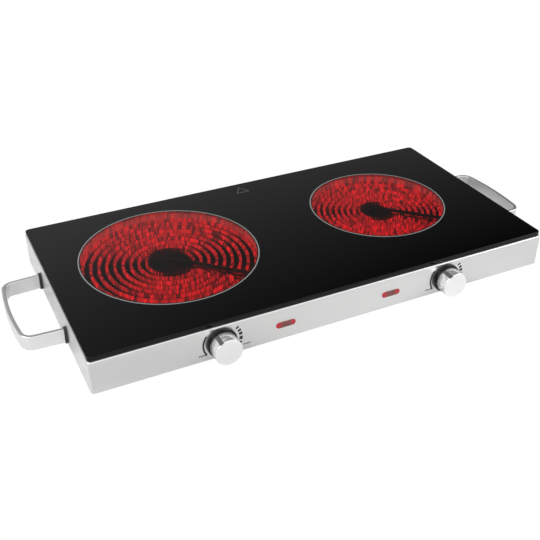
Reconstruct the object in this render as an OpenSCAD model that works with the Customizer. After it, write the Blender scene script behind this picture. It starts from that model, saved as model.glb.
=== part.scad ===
// Countertop hot plate with two radiant zones under one glass-ceramic top.
// Millimetres, +Z up, front (the knob side) towards -Y. The origin is on the floor,
// under the middle of the whole object.

/* [Housing] */
// Width of the steel housing, left to right
housing_w = 541; // [520:1:700]
// Depth of the steel housing, front to rear
housing_d = 271.4; // [268:0.2:360]
// Height of the steel housing, without feet and glass
housing_h = 37; // [36:1:50]
// Thickness of the stainless sheet
sheet_t = 0.8; // [0.6:0.1:1.2]
// Radius of the four upright corners
corner_r = 4; // [3:0.5:8]
// Radius of the bend along the top edges
top_bend_r = 1.5; // [1.3:0.1:2.5]
// Width of the folded-in flanges at the top and the bottom
flange_w = 12; // [10:1:14]

/* [Base] */
// Thickness of the base plate
base_t = 0.8; // [0.6:0.1:1.5]
// How far the base plate stands in from the housing's faces
base_inset = 3; // [1:0.5:4]
// Height of the rubber feet
foot_h = 5.2; // [4:0.2:12]
// Largest diameter of a foot
foot_d = 18; // [14:1:24]
// Distance of a foot's centre from the housing's left or right face
foot_side_inset = 38; // [30:1:60]
// Distance of a foot's centre from the housing's front or rear face
foot_end_inset = 28; // [26:1:50]
// Length of one vent slot in the base plate
vent_l = 46; // [20:1:60]
// Width of one vent slot
vent_w = 3.2; // [2:0.2:5]

/* [Glass] */
// Thickness of the glass-ceramic plate
glass_t = 4; // [3:0.5:6]
// Corner radius of the glass
glass_corner_r = 5; // [2:0.5:12]
// How far the glass stands in from the housing's left and right faces
glass_side_step = 0.5; // [0:0.1:3]
// How far the glass stands in from the housing's front and rear faces
glass_front_step = 1.65; // [0:0.05:4]
// Thickness of the silicone bead under the glass
seal_t = 1.2; // [0.8:0.1:2]

/* [Zones] */
// Diameter of the left cooking zone
left_zone_d = 200; // [160:1:208]
// Diameter of the right cooking zone
right_zone_d = 165; // [140:1:208]
// Distance of each zone's centre from the middle of the housing
zone_x = 136; // [125:1:150]
// How far the zones stand to the rear of the housing's middle
zone_rearward = 9.8; // [5:0.1:14]
// Wall of the insulating rim round a zone
rim_t = 8; // [6:0.5:10]
// Thickness of the heater pan's sheet
pan_t = 0.6; // [0.4:0.1:1]
// Height of the heater from its pan to the glass
heater_h = 26; // [24:1:27]
// Height of the heating ribbon
ribbon_h = 4.5; // [4:0.5:7]
// Thickness of the heating ribbon as it stands in its folds
ribbon_t = 0.8; // [0.6:0.1:1.5]
// Air between the ribbon and the glass
ribbon_air = 5; // [5:0.1:7]
// Rows of ribbon from the core to the rim
ribbon_rows = 9; // [6:1:10]
// Radius of the left heater's innermost row
left_core_r = 26; // [18:0.5:34]
// Radius of the right heater's innermost row
right_core_r = 20.5; // [18:0.5:34]
// Gap between the outermost row and the rim
ribbon_rim_gap = 3.3; // [3:0.1:14]
// Width of the free lane under the limiter rod
lane_w = 13; // [10:1:18]
// Diameter of the limiter rod
rod_d = 4; // [3:0.5:4]
// Direction of the limiter rod, counted from +X
rod_angle = -45; // [-50:1:-40]

/* [Knobs] */
// Distance of each knob from the middle of the housing
knob_x = 136; // [100:1:160]
// Distance of the knobs' axes below the housing's top
knob_drop = 19.1; // [19:0.1:19.5]
// Diameter of the metal cap
cap_d = 29.5; // [26:0.5:30]
// Length of the metal cap
cap_l = 14.4; // [12:0.2:24]
// Wall of the metal cap
cap_wall = 1.4; // [1.2:0.1:2]
// Diameter of the skirt at the wall
skirt_d = 33; // [31:0.5:35]
// Length of the skirt
skirt_l = 4.6; // [4.4:0.1:6]
// Air between the skirt and the housing
skirt_gap = 0.4; // [0.3:0.1:1]
// Width of the pointer inlay
pointer_w = 4.6; // [2:0.2:6]
// Depth of the pointer inlay
pointer_depth = 0.7; // [0.4:0.1:0.9]
// Where the pointer stands, counted from +X, seen from the front
pointer_angle = 120; // [0:1:180]
// Diameter of the regulator's shaft
shaft_d = 6; // [5:0.5:7]

/* [Lamps] */
// Distance of each indicator from the middle of the housing
lamp_x = 64; // [50:1:80]
// Distance of the indicators below the housing's top
lamp_drop = 19.6; // [16:0.1:22]
// Length of an indicator lens
lens_l = 22.5; // [16:0.5:26]
// Height of an indicator lens
lens_h = 6.9; // [5:0.1:10]

/* [Handles] */
// How far a handle reaches out from the housing
handle_reach = 48.4; // [40:0.2:70]
// Distance between the middles of a handle's two legs at the housing
handle_legs = 111.7; // [90:0.1:140]
// How far a handle's middle stands to the rear of the housing's middle
handle_rearward = 5.65; // [0:0.05:10]
// Distance of a handle's middle below the housing's top
handle_drop = 23.05; // [19:0.05:24]
// Height of the handle bar
bar_h = 16.5; // [14:0.5:18]
// Thickness of the handle bar
bar_t = 4.2; // [4:0.1:7]
// How much the span bows out between its corners
span_bow = 2.8; // [0.5:0.1:6]
// Angle at which each leg leans in towards the span
leg_angle = 2.6; // [0:0.1:4]
// Radius of the handle's outer corners
handle_corner_r = 14; // [8:0.5:18]
// Thickness of the spacer under each leg
spacer_t = 3; // [1:0.5:6]
// Width of a spacer
spacer_w = 6.2; // [5.4:0.2:9]
// Height of a spacer
spacer_h = 20.5; // [18:0.5:22]

/* [Wiring] */
// Distance of the cord gland from the middle of the housing
gland_x = 8; // [0:1:40]
// Height of the cord gland above the base plate's top
gland_up = 17; // [14:0.5:20]
// Diameter of the hole for the cord
cord_hole_d = 8.4; // [6:0.2:10]
// Diameter of an internal wire
wire_d = 2.6; // [1.6:0.1:3]

/* [Hidden] */
$fn = 64;

left = -1;
right = 1;
front = -1;
rear = 1;

// Fits
sliding_clearance = 0.1;
running_clearance = 0.05;
screw_clearance = 0.15;
tiny = 0.01;

// Outer reach, and the shift that puts the origin in the middle of the whole
knob_reach = skirt_gap + skirt_l + cap_l;
gland_flange_t = 4;
cy = (knob_reach - gland_flange_t) / 2;

// Levels
base_z = foot_h;
shell_z = base_z + base_t;
top_z = shell_z + housing_h;
glass_z = top_z + seal_t;
knob_z = top_z - knob_drop;
lamp_z = top_z - lamp_drop;
handle_z = top_z - handle_drop;
gland_z = shell_z + gland_up;
front_y = cy - housing_d / 2;
rear_y = cy + housing_d / 2;
inner_front_y = front_y + sheet_t;
inner_rear_y = rear_y - sheet_t;

// Vents in the base plate and the rear wall, and the screws that hold the base plate
vent_pitch = 12;
vent_row_y = vent_l / 2 + 7;
wall_vent_l = 16;
base_screw_l = 6;
base_screw_side_inset = 90;
base_screw_end_inset = 22;

// Glass
glass_w = housing_w - 2 * glass_side_step;
glass_d = housing_d - 2 * glass_front_step;
seal_w = 9;
seal_inset = 0.3;

// Heaters, measured down from the glass
zone_y = cy + zone_rearward;
pan_z = glass_z - heater_h;
ribbon_z = glass_z - ribbon_air - ribbon_h;
pan_lip_drop = 4;
rod_air = 0.6;
rod_z = glass_z - rod_air - rod_d / 2;
rod_past_centre = 6;
post_r = 7;
switch_l = 24;
switch_w = 20;
switch_h = 18;
switch_gap = 0.5;
switch_drop = 0.4;
switch_socket = 4;
spring_l = 60;
spring_w = 14;
spring_t = 0.6;
spring_foot_l = 8;
spring_spread = 46;
tab_w = 6.3;
tab_t = 0.8;
tab_l = 8;
heater_block = [14, 22, 12];
heater_block_gap = 0.2;
heater_blade_pitch = 12;

// Knob, regulator and lock nut, along the knob's axis from the housing's face
bushing_d = 10;
bushing_out = 3;
nut_af = 14;
nut_t = 2.5;
skirt_lip = 1.8;
skirt_recess_d = 22;
skirt_top = skirt_gap + skirt_l;
web_start = skirt_gap + 3.2;
sleeve_wall = 2;
cap_front_t = 1.2;
cap_chamfer = 0.5;
hub_d = 12;
hub_l = 13;
shaft_flat = 0.8;
shaft_out = skirt_top + 10;
regulator_w = 40;
regulator_h = 28;
regulator_l = 22;
regulator_wall = 2.5;
regulator_front_t = 4;
cover_t = 2;
blade_pitch = 7.4;
blade_inside = 6;
blade_y = inner_front_y + regulator_l - 8;
cam_d = 20;
cam_t = 4;
cam_start = 8;
cam_flat = 2;
cam_flat_angle = -35;

// Lamps
lens_out = 0.9;
lens_flange = 1.3;
lens_flange_t = 1.5;
lens_depth = 5;
lamp_body_l = 18;
lamp_body_wall = 1.5;
lamp_lead_pitch = 12;
lens_core_step = 1.5;
bulb_d = 4;
bulb_l = 13;
bulb_gap = 1.5;

// Handles
screw_d = 3;
screw_grip = 7;
screw_spacing = 10;
screw_head_d = 5.5;
screw_head_t = 1.8;
leg_y = [for (e = [front, rear]) cy + handle_rearward + e * handle_legs / 2];

// Terminal block, earth stud and gland
block = [57, 20, 13];
block_pitch = 11;
poles = [-2:2];
block_y = rear_y - 48;
clamp_d = 6;
clamp_hole_d = 3.8;
clamp_screw_spread = 5;
clamp_screw_l = 3.5;
clamp_screw_sunk = 0.8;
block_screw_d = 3;
gland_neck_d = 15.8;
gland_flange_d = 21;
gland_rim_t = 1.6;
gland_lip = 2.4;
gland_nut_af = 20;
gland_nut_t = 4;
gland_inner_l = 9;
earth_x = gland_x + 34;
earth_y = rear_y - 26;
earth_d = 4;

// ---------------------------------------------------------------- shared shapes

module quarter_disc(r) {
    intersection() {
        circle(r);
        square(2 * r);
    }
}

module rounded_rect(w, d, r) {
    square([w - 2 * r, d], center = true);
    square([w, d - 2 * r], center = true);
    for (sx = [-1, 1], sy = [-1, 1]) translate([sx * (w / 2 - r), sy * (d / 2 - r)]) circle(r);
}

// A slot with round ends, l long overall and w wide, along X
module stadium(l, w) {
    square([l - w, w], center = true);
    for (s = [-1, 1]) translate([s * (l - w) / 2, 0]) circle(w / 2);
}

// An upright block whose top edges are rounded to bend and whose corners are rounded to r
module bent_block(w, d, h, r, bend) {
    linear_extrude(h - bend) rounded_rect(w, d, r);
    translate([0, 0, h - bend]) {
        linear_extrude(bend) {
            square([w - 2 * r, d - 2 * bend], center = true);
            square([w - 2 * bend, d - 2 * r], center = true);
        }
        for (sx = [0, 1], sy = [0, 1]) mirror([sx, 0, 0]) mirror([0, sy, 0]) {
            translate([w / 2 - r, d / 2 - r, 0]) rotate_extrude(angle = 90) {
                square([r - bend, bend]);
                translate([r - bend, 0]) quarter_disc(bend);
            }
        }
        for (s = [0, 1]) {
            mirror([0, s, 0]) translate([-w / 2 + r, d / 2 - bend, 0])
                rotate([90, 0, 90]) linear_extrude(w - 2 * r) quarter_disc(bend);
            mirror([s, 0, 0]) translate([w / 2 - bend, d / 2 - r, 0])
                rotate([90, 0, 0]) linear_extrude(d - 2 * r) quarter_disc(bend);
        }
    }
}

module ring(r_out, r_in, h) {
    difference() {
        cylinder(r = r_out, h = h);
        translate([0, 0, -1]) cylinder(r = r_in, h = h + 2);
    }
}

module hexagon(across_flats) {
    circle(d = across_flats / cos(30), $fn = 6);
}

// A pan-head screw with its head's underside at z = 0 and its shank down to -l
module screw(d, l, head_d, head_t) {
    translate([0, 0, -l]) cylinder(d = d, h = l);
    difference() {
        cylinder(d = head_d, h = head_t);
        for (a = [0, 90]) translate([0, 0, head_t]) rotate(a)
            cube([head_d * 0.6, head_t * 0.35, head_t], center = true);
    }
}

// Stands children on the front face at x, with their local +Z pointing out of it
module on_front(x, z) {
    translate([x, front_y, z]) rotate([90, 0, 0]) children();
}

// Children drawn for the right end, mirrored to the left end when side is left
module at_end(side) {
    if (side == left) mirror([1, 0, 0]) children();
    else children();
}

module at_zone(side) {
    translate([side * zone_x, zone_y, 0]) children();
}

function zone_r(side) = (side == left ? left_zone_d : right_zone_d) / 2;
function pan_inner_r(side) = zone_r(side) + rim_t;
function pan_outer_r(side) = pan_inner_r(side) + pan_t;
function insulation_r(side) = pan_inner_r(side) - sliding_clearance;

// ---------------------------------------------------------------- glass and seal

module glass_top() {
    color("#0b0b0c") translate([0, cy, glass_z])
        linear_extrude(glass_t) rounded_rect(glass_w, glass_d, glass_corner_r);
}

module glass_seal() {
    w = glass_w - 2 * seal_inset;
    d = glass_d - 2 * seal_inset;
    r = glass_corner_r - seal_inset;
    color("#1d1d1f") translate([0, cy, top_z]) difference() {
        linear_extrude(seal_t) rounded_rect(w, d, r);
        translate([0, 0, -1]) linear_extrude(seal_t + 2)
            rounded_rect(w - 2 * seal_w, d - 2 * seal_w, r);
    }
}

// ---------------------------------------------------------------- housing

base_screw_x = housing_w / 2 - flange_w / 2 - base_inset / 2;
base_screw_y = housing_d / 2 - flange_w / 2 - base_inset / 2;
base_screw_places = [
    for (sx = [-1, 1], sy = [-1, 1]) each [
        [sx * base_screw_x, cy + sy * (base_screw_y - base_screw_end_inset)],
        [sx * (housing_w / 2 - base_screw_side_inset), cy + sy * base_screw_y]
    ]
];

module housing_shell() {
    color("#c9cbcc") difference() {
        translate([0, cy, shell_z])
            bent_block(housing_w, housing_d, housing_h, corner_r, top_bend_r);
        translate([0, cy, shell_z + sheet_t])
            bent_block(housing_w - 2 * sheet_t, housing_d - 2 * sheet_t,
                housing_h - 2 * sheet_t, corner_r - sheet_t, top_bend_r - sheet_t);
        translate([0, cy, shell_z - 1]) linear_extrude(housing_h + 2)
            rounded_rect(housing_w - 2 * flange_w, housing_d - 2 * flange_w, corner_r);
        for (side = [left, right]) {
            on_front(side * knob_x, knob_z)
                cylinder(d = bushing_d + 2 * sliding_clearance, h = 4 * sheet_t, center = true);
            on_front(side * lamp_x, lamp_z)
                translate([0, 0, -2 * sheet_t]) linear_extrude(4 * sheet_t)
                    stadium(lens_l + 2 * sliding_clearance, lens_h + 2 * sliding_clearance);
            at_end(side)
                handle_screw_ways(screw_d + 2 * screw_clearance, -2 * sheet_t, sheet_t);
        }
        translate([gland_x, rear_y, gland_z]) rotate([90, 0, 0])
            cylinder(d = gland_neck_d + 2 * sliding_clearance, h = 4 * sheet_t, center = true);
        for (p = base_screw_places) translate([p.x, p.y, shell_z - 1])
            cylinder(d = screw_d + 2 * screw_clearance, h = sheet_t + 2);
        // vents low in the rear wall, behind each zone
        for (side = [left, right], i = [-3:3])
            translate([side * zone_x + i * vent_pitch, rear_y, shell_z + housing_h / 2])
                rotate([90, 90, 0]) linear_extrude(4 * sheet_t, center = true)
                    stadium(wall_vent_l, vent_w);
    }
}

foot_places = [
    for (sy = [front, rear], sx = [left, right])
        [sx * (housing_w / 2 - foot_side_inset), cy + sy * (housing_d / 2 - foot_end_inset)]
];
foot_screw_l = 8;
foot_counterbore_d = 8;
foot_counterbore_h = 2.6;
foot_nut_af = 5.5;
foot_nut_t = 2.2;

module base_plate() {
    color("#9a9c9e") difference() {
        translate([0, cy, base_z]) linear_extrude(base_t)
            rounded_rect(housing_w - 2 * base_inset, housing_d - 2 * base_inset, corner_r);
        for (p = concat(base_screw_places, foot_places))
            translate([p.x, p.y, base_z - 1])
                cylinder(d = screw_d + 2 * screw_clearance, h = base_t + 2);
        for (side = [left, right], row = [-1, 1], i = [-4:4])
            translate([side * zone_x + i * vent_pitch, zone_y + row * vent_row_y, base_z - 1])
                linear_extrude(base_t + 2) rotate(90) stadium(vent_l, vent_w);
        translate([earth_x, earth_y, base_z - 1])
            cylinder(d = earth_d + 2 * screw_clearance, h = base_t + 2);
    }
}

module base_screws() {
    color("#8d8f91") for (p = base_screw_places) translate([p.x, p.y, base_z])
        mirror([0, 0, 1]) screw(screw_d, base_screw_l, screw_head_d, screw_head_t);
}

module foot(i) {
    chamfer = 1;
    color("#222224") translate([foot_places[i].x, foot_places[i].y, 0]) difference() {
        rotate_extrude() polygon([
            [0, 0], [foot_d / 2 - 2 * chamfer, 0], [foot_d / 2 - chamfer, chamfer],
            [foot_d / 2, foot_h], [0, foot_h]
        ]);
        translate([0, 0, -1]) cylinder(d = screw_d + 2 * screw_clearance, h = foot_h + 2);
        translate([0, 0, -1]) cylinder(d = foot_counterbore_d, h = foot_counterbore_h + 1);
    }
}

module foot_screws() {
    color("#8d8f91") for (p = foot_places) {
        translate([p.x, p.y, foot_counterbore_h])
            mirror([0, 0, 1]) screw(screw_d, foot_screw_l, screw_head_d, screw_head_t);
        // nut on top of the base plate
        translate([p.x, p.y, shell_z])
            linear_extrude(foot_nut_t) difference() {
                hexagon(foot_nut_af);
                circle(d = screw_d);
            }
    }
}

// ---------------------------------------------------------------- handles

// Corner and span of the bar in plan, measured from the housing's face: the bowed span
// touches both corner arcs, and each leg leaves its corner arc at leg_angle
handle_corner_x = handle_reach - span_bow - handle_corner_r;
leg_middle_r = handle_corner_r - bar_t / 2;
handle_corner_y = handle_legs / 2 - leg_middle_r * cos(leg_angle)
    - (handle_corner_x + leg_middle_r * sin(leg_angle)) * tan(leg_angle);
span_r = (pow(span_bow + handle_corner_r, 2) + pow(handle_corner_y, 2)
    - pow(handle_corner_r, 2)) / (2 * span_bow);
corner_turn = asin(handle_corner_y / (span_r - handle_corner_r));

function arc(x, y, r, from, to, steps) = [
    for (i = [0:steps])
        let (a = from + (to - from) * i / steps) [x + r * cos(a), y + r * sin(a)]
];

// One face of the bar, from the rear leg's end to the front leg's end; inward is how far
// it stands inside the outer face
function bar_face(inward) =
    let (
        r = handle_corner_r - inward,
        leg_end_y = handle_corner_y + r * cos(leg_angle)
            + (handle_corner_x + r * sin(leg_angle) - spacer_t) * tan(leg_angle),
        half = concat(
            [[spacer_t, leg_end_y]],
            arc(handle_corner_x, handle_corner_y, r, 90 - leg_angle, corner_turn, 12),
            [for (p = arc(handle_reach - span_r, 0, span_r - inward, corner_turn, 0, 10))
                if (p.y < handle_corner_y) p]
        ),
        n = len(half)
    )
    concat(half, [for (i = [n - 2:-1:0]) [half[i].x, -half[i].y]]);

module handle(side) {
    inner = bar_face(bar_t);
    n = len(inner);
    color("#d6d7d8") at_end(side) difference() {
        translate([housing_w / 2, cy + handle_rearward, handle_z - bar_h / 2])
            linear_extrude(bar_h)
                polygon(concat(bar_face(0), [for (i = [n - 1:-1:0]) inner[i]]));
        handle_screw_ways(screw_d + 2 * running_clearance, -1, spacer_t + screw_grip + 1);
    }
}

// The screws' holes through a handle's foot, its spacers and the wall, from x0 to x1
// outside the housing's face. They meet the middle of each leaning leg inside its grip.
module handle_screw_ways(d, x0, x1) {
    lean = (spacer_t + screw_grip / 2) * tan(leg_angle);
    for (e = [front, rear], s = [-1, 1])
        translate([housing_w / 2 + x0, cy + handle_rearward + e * (handle_legs / 2 - lean),
            handle_z + s * screw_spacing / 2])
            rotate([0, 90, 0]) cylinder(d = d, h = x1 - x0);
}

module handle_spacers(side) {
    color("#161617") at_end(side) difference() {
        for (y = leg_y) translate([housing_w / 2, y, handle_z]) rotate([90, 0, 90])
            linear_extrude(spacer_t) rotate(90) stadium(spacer_h, spacer_w);
        handle_screw_ways(screw_d + 2 * screw_clearance, -1, spacer_t + 1);
    }
}

module handle_screws() {
    color("#8d8f91") for (side = [left, right]) at_end(side) {
        handle_screw_ways(screw_d, -sheet_t, spacer_t + screw_grip);
        handle_screw_ways(screw_head_d, -sheet_t - screw_head_t, -sheet_t);
    }
}

// ---------------------------------------------------------------- knobs

cap_r = cap_d / 2;
cap_inner_r = cap_r - cap_wall;
sleeve_r = cap_inner_r - running_clearance;

module pointer_slot(clearance) {
    rotate(pointer_angle)
        translate([cap_r - pointer_depth, -pointer_w / 2 - clearance, skirt_top - 1])
            cube([2 * pointer_depth, pointer_w + 2 * clearance, cap_l + 2]);
}

module knob_cap(side) {
    color("#dcdddd") on_front(side * knob_x, knob_z) difference() {
        translate([0, 0, skirt_top]) rotate_extrude() polygon([
            [cap_inner_r, 0], [cap_r, 0], [cap_r, cap_l - cap_chamfer],
            [cap_r - cap_chamfer, cap_l], [0, cap_l],
            [0, cap_l - cap_front_t], [cap_inner_r, cap_l - cap_front_t]
        ]);
        pointer_slot(0);
    }
}

module knob_pointer(side) {
    recess = 0.15;
    color("#56585a") on_front(side * knob_x, knob_z) intersection() {
        translate([0, 0, skirt_top])
            cylinder(r = cap_r - recess, h = cap_l - recess, $fn = 240);
        pointer_slot(-running_clearance);
    }
}

// The round shaft with its driving flat, cut or drawn clearance larger
module d_section(clearance) {
    difference() {
        circle(d = shaft_d + 2 * clearance);
        translate([-shaft_d, shaft_d / 2 - shaft_flat + clearance]) square(2 * shaft_d);
    }
}

module knob_skirt(side) {
    skirt_r = skirt_d / 2;
    skirt_shoulder_r = cap_r + 0.5;
    sleeve_l = cap_l - cap_front_t - running_clearance;
    rib_t = 1.6;
    color("#1a1a1b") on_front(side * knob_x, knob_z) difference() {
        union() {
            rotate_extrude() polygon([
                [0, web_start], [skirt_recess_d / 2, web_start],
                [skirt_recess_d / 2, skirt_gap], [skirt_r, skirt_gap],
                [skirt_r, skirt_gap + skirt_lip], [skirt_shoulder_r, skirt_top],
                [0, skirt_top]
            ]);
            translate([0, 0, skirt_top - tiny]) {
                ring(sleeve_r, sleeve_r - sleeve_wall, sleeve_l);
                cylinder(d = hub_d, h = hub_l);
                for (a = [0:90:270]) rotate(a + 45) translate([hub_d / 2 - 1, -rib_t / 2, 0])
                    cube([sleeve_r - sleeve_wall / 2 - hub_d / 2 + 1, rib_t, hub_l - 2]);
            }
        }
        translate([0, 0, web_start - 1])
            linear_extrude(shaft_out - web_start + 1.5) d_section(running_clearance);
    }
}

module regulator_shaft(side) {
    color("#b9babb") on_front(side * knob_x, knob_z) {
        translate([0, 0, bushing_out + tiny]) linear_extrude(shaft_out - bushing_out - tiny)
            d_section(0);
        translate([0, 0, -sheet_t - cam_start - cam_t])
            cylinder(d = shaft_d, h = sheet_t + cam_start + cam_t + bushing_out + 2 * tiny);
        // cam with a flat where the contacts rest when the knob is off
        translate([0, 0, -sheet_t - cam_start - cam_t]) linear_extrude(cam_t) difference() {
            circle(d = cam_d);
            rotate(cam_flat_angle) translate([cam_d / 2 - cam_flat, -cam_d / 2]) square(cam_d);
        }
    }
}

// ---------------------------------------------------------------- regulators

// Three blades through each side wall of the body, one above another
module regulator_blades(side) {
    for (s = [-1, 1], row = [-1:1])
        translate([side * knob_x + s * (regulator_w / 2 + (tab_l - blade_inside) / 2),
            blade_y, knob_z + row * blade_pitch])
            cube([tab_l + blade_inside, tab_t, tab_w], center = true);
}

module regulator_body(side) {
    color("#e7e3d8") difference() {
        union() {
            translate([side * knob_x - regulator_w / 2, inner_front_y, knob_z - regulator_h / 2])
                cube([regulator_w, regulator_l, regulator_h]);
            on_front(side * knob_x, knob_z) translate([0, 0, -sheet_t])
                cylinder(d = bushing_d, h = sheet_t + bushing_out);
        }
        translate([side * knob_x - regulator_w / 2 + regulator_wall, inner_front_y + regulator_front_t,
            knob_z - regulator_h / 2 + regulator_wall])
            cube([regulator_w - 2 * regulator_wall, regulator_l,
                regulator_h - 2 * regulator_wall]);
        on_front(side * knob_x, knob_z) translate([0, 0, -sheet_t - regulator_front_t - 1])
            cylinder(d = shaft_d + 2 * running_clearance,
                h = sheet_t + regulator_front_t + bushing_out + 2);
        regulator_blades(side);
    }
}

module regulator_cover(side) {
    tongue = [2, 3, 3];
    tongue_gap = 0.1;
    color("#d8d3c6") {
        translate([side * knob_x - regulator_w / 2, inner_front_y + regulator_l,
            knob_z - regulator_h / 2])
            cube([regulator_w, cover_t, regulator_h]);
        // tongues that clip into the body
        for (s = [-1, 1])
            translate([
                side * knob_x - tongue.x / 2
                    + s * (regulator_w / 2 - regulator_wall - tongue_gap - tongue.x / 2),
                inner_front_y + regulator_l - tongue.y, knob_z - tongue.z / 2
            ])
                cube([tongue.x, tongue.y + tiny, tongue.z]);
    }
}

module regulator_tabs(side) {
    color("#c9b26a") regulator_blades(side);
}

module regulator_nuts() {
    color("#b5b6b8") for (side = [left, right]) on_front(side * knob_x, knob_z)
        linear_extrude(nut_t) difference() {
            hexagon(nut_af);
            circle(d = bushing_d + 2 * running_clearance);
        }
}

// ---------------------------------------------------------------- lamps

module lamp_lens(side) {
    color("#8e1f28") on_front(side * lamp_x, lamp_z) {
        translate([0, 0, -sheet_t - tiny]) linear_extrude(sheet_t + lens_out + tiny)
            stadium(lens_l, lens_h);
        translate([0, 0, -sheet_t - lens_flange_t]) linear_extrude(lens_flange_t)
            stadium(lens_l + 2 * lens_flange, lens_h + 2 * lens_flange);
        translate([0, 0, -sheet_t - lens_depth]) linear_extrude(lens_depth)
            stadium(lens_l - 2 * lens_core_step, lens_h - 2 * lens_core_step);
    }
}

module lamp_body(side) {
    start = sheet_t + lens_flange_t;
    body_h = lens_h + 2 * lens_flange;
    body_w = lens_l + 2 * lens_flange;
    color("#ece8df") on_front(side * lamp_x, lamp_z) difference() {
        translate([0, 0, -start - lamp_body_l]) linear_extrude(lamp_body_l)
            square([body_w, body_h], center = true);
        translate([0, 0, -start - lamp_body_l + lamp_body_wall]) linear_extrude(lamp_body_l)
            square([body_w - 2 * lamp_body_wall, body_h - 2 * lamp_body_wall], center = true);
        for (s = [-1, 1])
            translate([s * lamp_lead_pitch / 2, 0, -start - lamp_body_l - 1])
                cylinder(d = wire_d + 2 * sliding_clearance, h = lamp_body_wall + 2);
    }
}

module lamp_bulb(side) {
    depth = sheet_t + lens_depth + bulb_gap + bulb_d / 2;
    color("#f0a060") on_front(side * lamp_x, lamp_z) translate([0, 0, -depth])
        rotate([0, 90, 0]) rotate_extrude() {
            square([bulb_d / 2, bulb_l - bulb_d]);
            intersection() {
                union() {
                    circle(bulb_d / 2);
                    translate([0, bulb_l - bulb_d]) circle(bulb_d / 2);
                }
                translate([0, -bulb_d]) square([bulb_d, bulb_l + bulb_d]);
            }
        }
}

// ---------------------------------------------------------------- heaters

module heater_pan(side) {
    pan_h = heater_h - pan_lip_drop;
    color("#a7a9aa") at_zone(side) difference() {
        translate([0, 0, pan_z]) cylinder(r = pan_outer_r(side), h = pan_h);
        translate([0, 0, pan_z + pan_t]) cylinder(r = pan_inner_r(side), h = pan_h);
        rod_space(side, screw_clearance);
    }
}

// The way of the limiter rod, out past the pan, with a clearance all round
module rod_space(side, clearance) {
    translate([0, 0, rod_z]) rotate(rod_angle) rotate([0, 90, 0])
        cylinder(d = rod_d + 2 * clearance, h = pan_outer_r(side) + 5);
}

module heater_base(side) {
    color("#e9e5da") at_zone(side) difference() {
        union() {
            translate([0, 0, pan_z + pan_t])
                cylinder(r = insulation_r(side), h = ribbon_z - pan_z - pan_t);
            cylinder_between(post_r, ribbon_z - 1, rod_z);
        }
        translate([0, 0, rod_z]) rotate(rod_angle) translate([-rod_past_centre, 0, 0])
            rotate([0, 90, 0])
                cylinder(d = rod_d + 2 * running_clearance, h = 3 * post_r);
    }
}

module cylinder_between(r, z0, z1) {
    translate([0, 0, z0]) cylinder(r = r, h = z1 - z0);
}

module heater_rim(side) {
    color("#e4dfd2") at_zone(side) difference() {
        translate([0, 0, ribbon_z])
            ring(insulation_r(side), zone_r(side), glass_z - ribbon_z);
        rod_space(side, screw_clearance);
    }
}

// One ribbon folded to and fro: open rings, joined in turn at either edge of the lane
function core_r(side) = side == left ? left_core_r : right_core_r;
function row_r(side, i) =
    core_r(side) + (zone_r(side) - ribbon_rim_gap - core_r(side)) * i / (ribbon_rows - 1);
function lane_half_angle(r) = asin((lane_w / 2) / r);

module heater_ribbon(side) {
    color("#ff3a20") at_zone(side) translate([0, 0, ribbon_z]) rotate(rod_angle) {
        difference() {
            for (i = [0:ribbon_rows - 1])
                ring(row_r(side, i) + ribbon_t / 2, row_r(side, i) - ribbon_t / 2, ribbon_h);
            translate([0, -lane_w / 2, -1]) cube([zone_r(side), lane_w, ribbon_h + 2]);
        }
        for (i = [0:ribbon_rows - 2]) {
            x0 = row_r(side, i) * cos(lane_half_angle(row_r(side, i)));
            x1 = row_r(side, i + 1) * cos(lane_half_angle(row_r(side, i + 1)));
            edge = (i % 2 == 0 ? 1 : -1) * lane_w / 2;
            translate([x0 - ribbon_t, edge - ribbon_t / 2, 0])
                cube([x1 - x0 + 2 * ribbon_t, ribbon_t, ribbon_h]);
        }
    }
}

module limiter_rod(side) {
    color("#8d8880") at_zone(side) translate([0, 0, rod_z]) rotate(rod_angle)
        translate([-rod_past_centre, 0, 0]) rotate([0, 90, 0])
            cylinder(d = rod_d,
                h = rod_past_centre + pan_outer_r(side) + switch_gap + switch_socket);
}

module limiter_switch(side) {
    color("#e3ddcf") at_zone(side) rotate(rod_angle) difference() {
        translate([pan_outer_r(side) + switch_gap, -switch_w / 2, glass_z - switch_h - switch_drop])
            cube([switch_l, switch_w, switch_h]);
        translate([0, 0, rod_z]) rotate([0, 90, 0])
            cylinder(d = rod_d + 2 * running_clearance,
                h = pan_outer_r(side) + switch_gap + switch_socket + running_clearance);
    }
}

// Ceramic piece with two blades, on the side of the pan that faces the wiring
function terminal_angle(side) = side == left ? -20 : 200;

module heater_terminals(side) {
    reach = pan_outer_r(side) + heater_block_gap;
    color("#e8e4da") at_zone(side) rotate(terminal_angle(side)) {
        translate([reach, -heater_block.y / 2, pan_z])
            cube(heater_block);
        for (s = [-1, 1])
            translate([reach + heater_block.x - tiny,
                s * heater_blade_pitch / 2 - tab_w / 2, pan_z + heater_block.z / 2])
                cube([tab_l, tab_w, tab_t]);
    }
}

// Arched leaf springs on the base plate that carry the pans
module heater_springs() {
    rise = pan_z - shell_z;
    half = spring_l / 2;
    spring_r = (half * half + rise * rise) / (2 * rise);
    color("#8f9193") for (side = [left, right], s = [-1, 1])
        at_zone(side) translate([0, s * spring_spread + spring_w / 2, shell_z])
            rotate([90, 0, 0]) linear_extrude(spring_w) {
                intersection() {
                    translate([0, rise - spring_r]) difference() {
                        circle(spring_r, $fn = 180);
                        circle(spring_r - spring_t, $fn = 180);
                    }
                    translate([-half, 0]) square([spring_l, rise + 1]);
                }
                for (e = [-1, 1])
                    translate([e * (half + spring_foot_l / 2 - 1) - spring_foot_l / 2, 0])
                        square([spring_foot_l, spring_t]);
            }
}

// ---------------------------------------------------------------- terminals and gland

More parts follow.
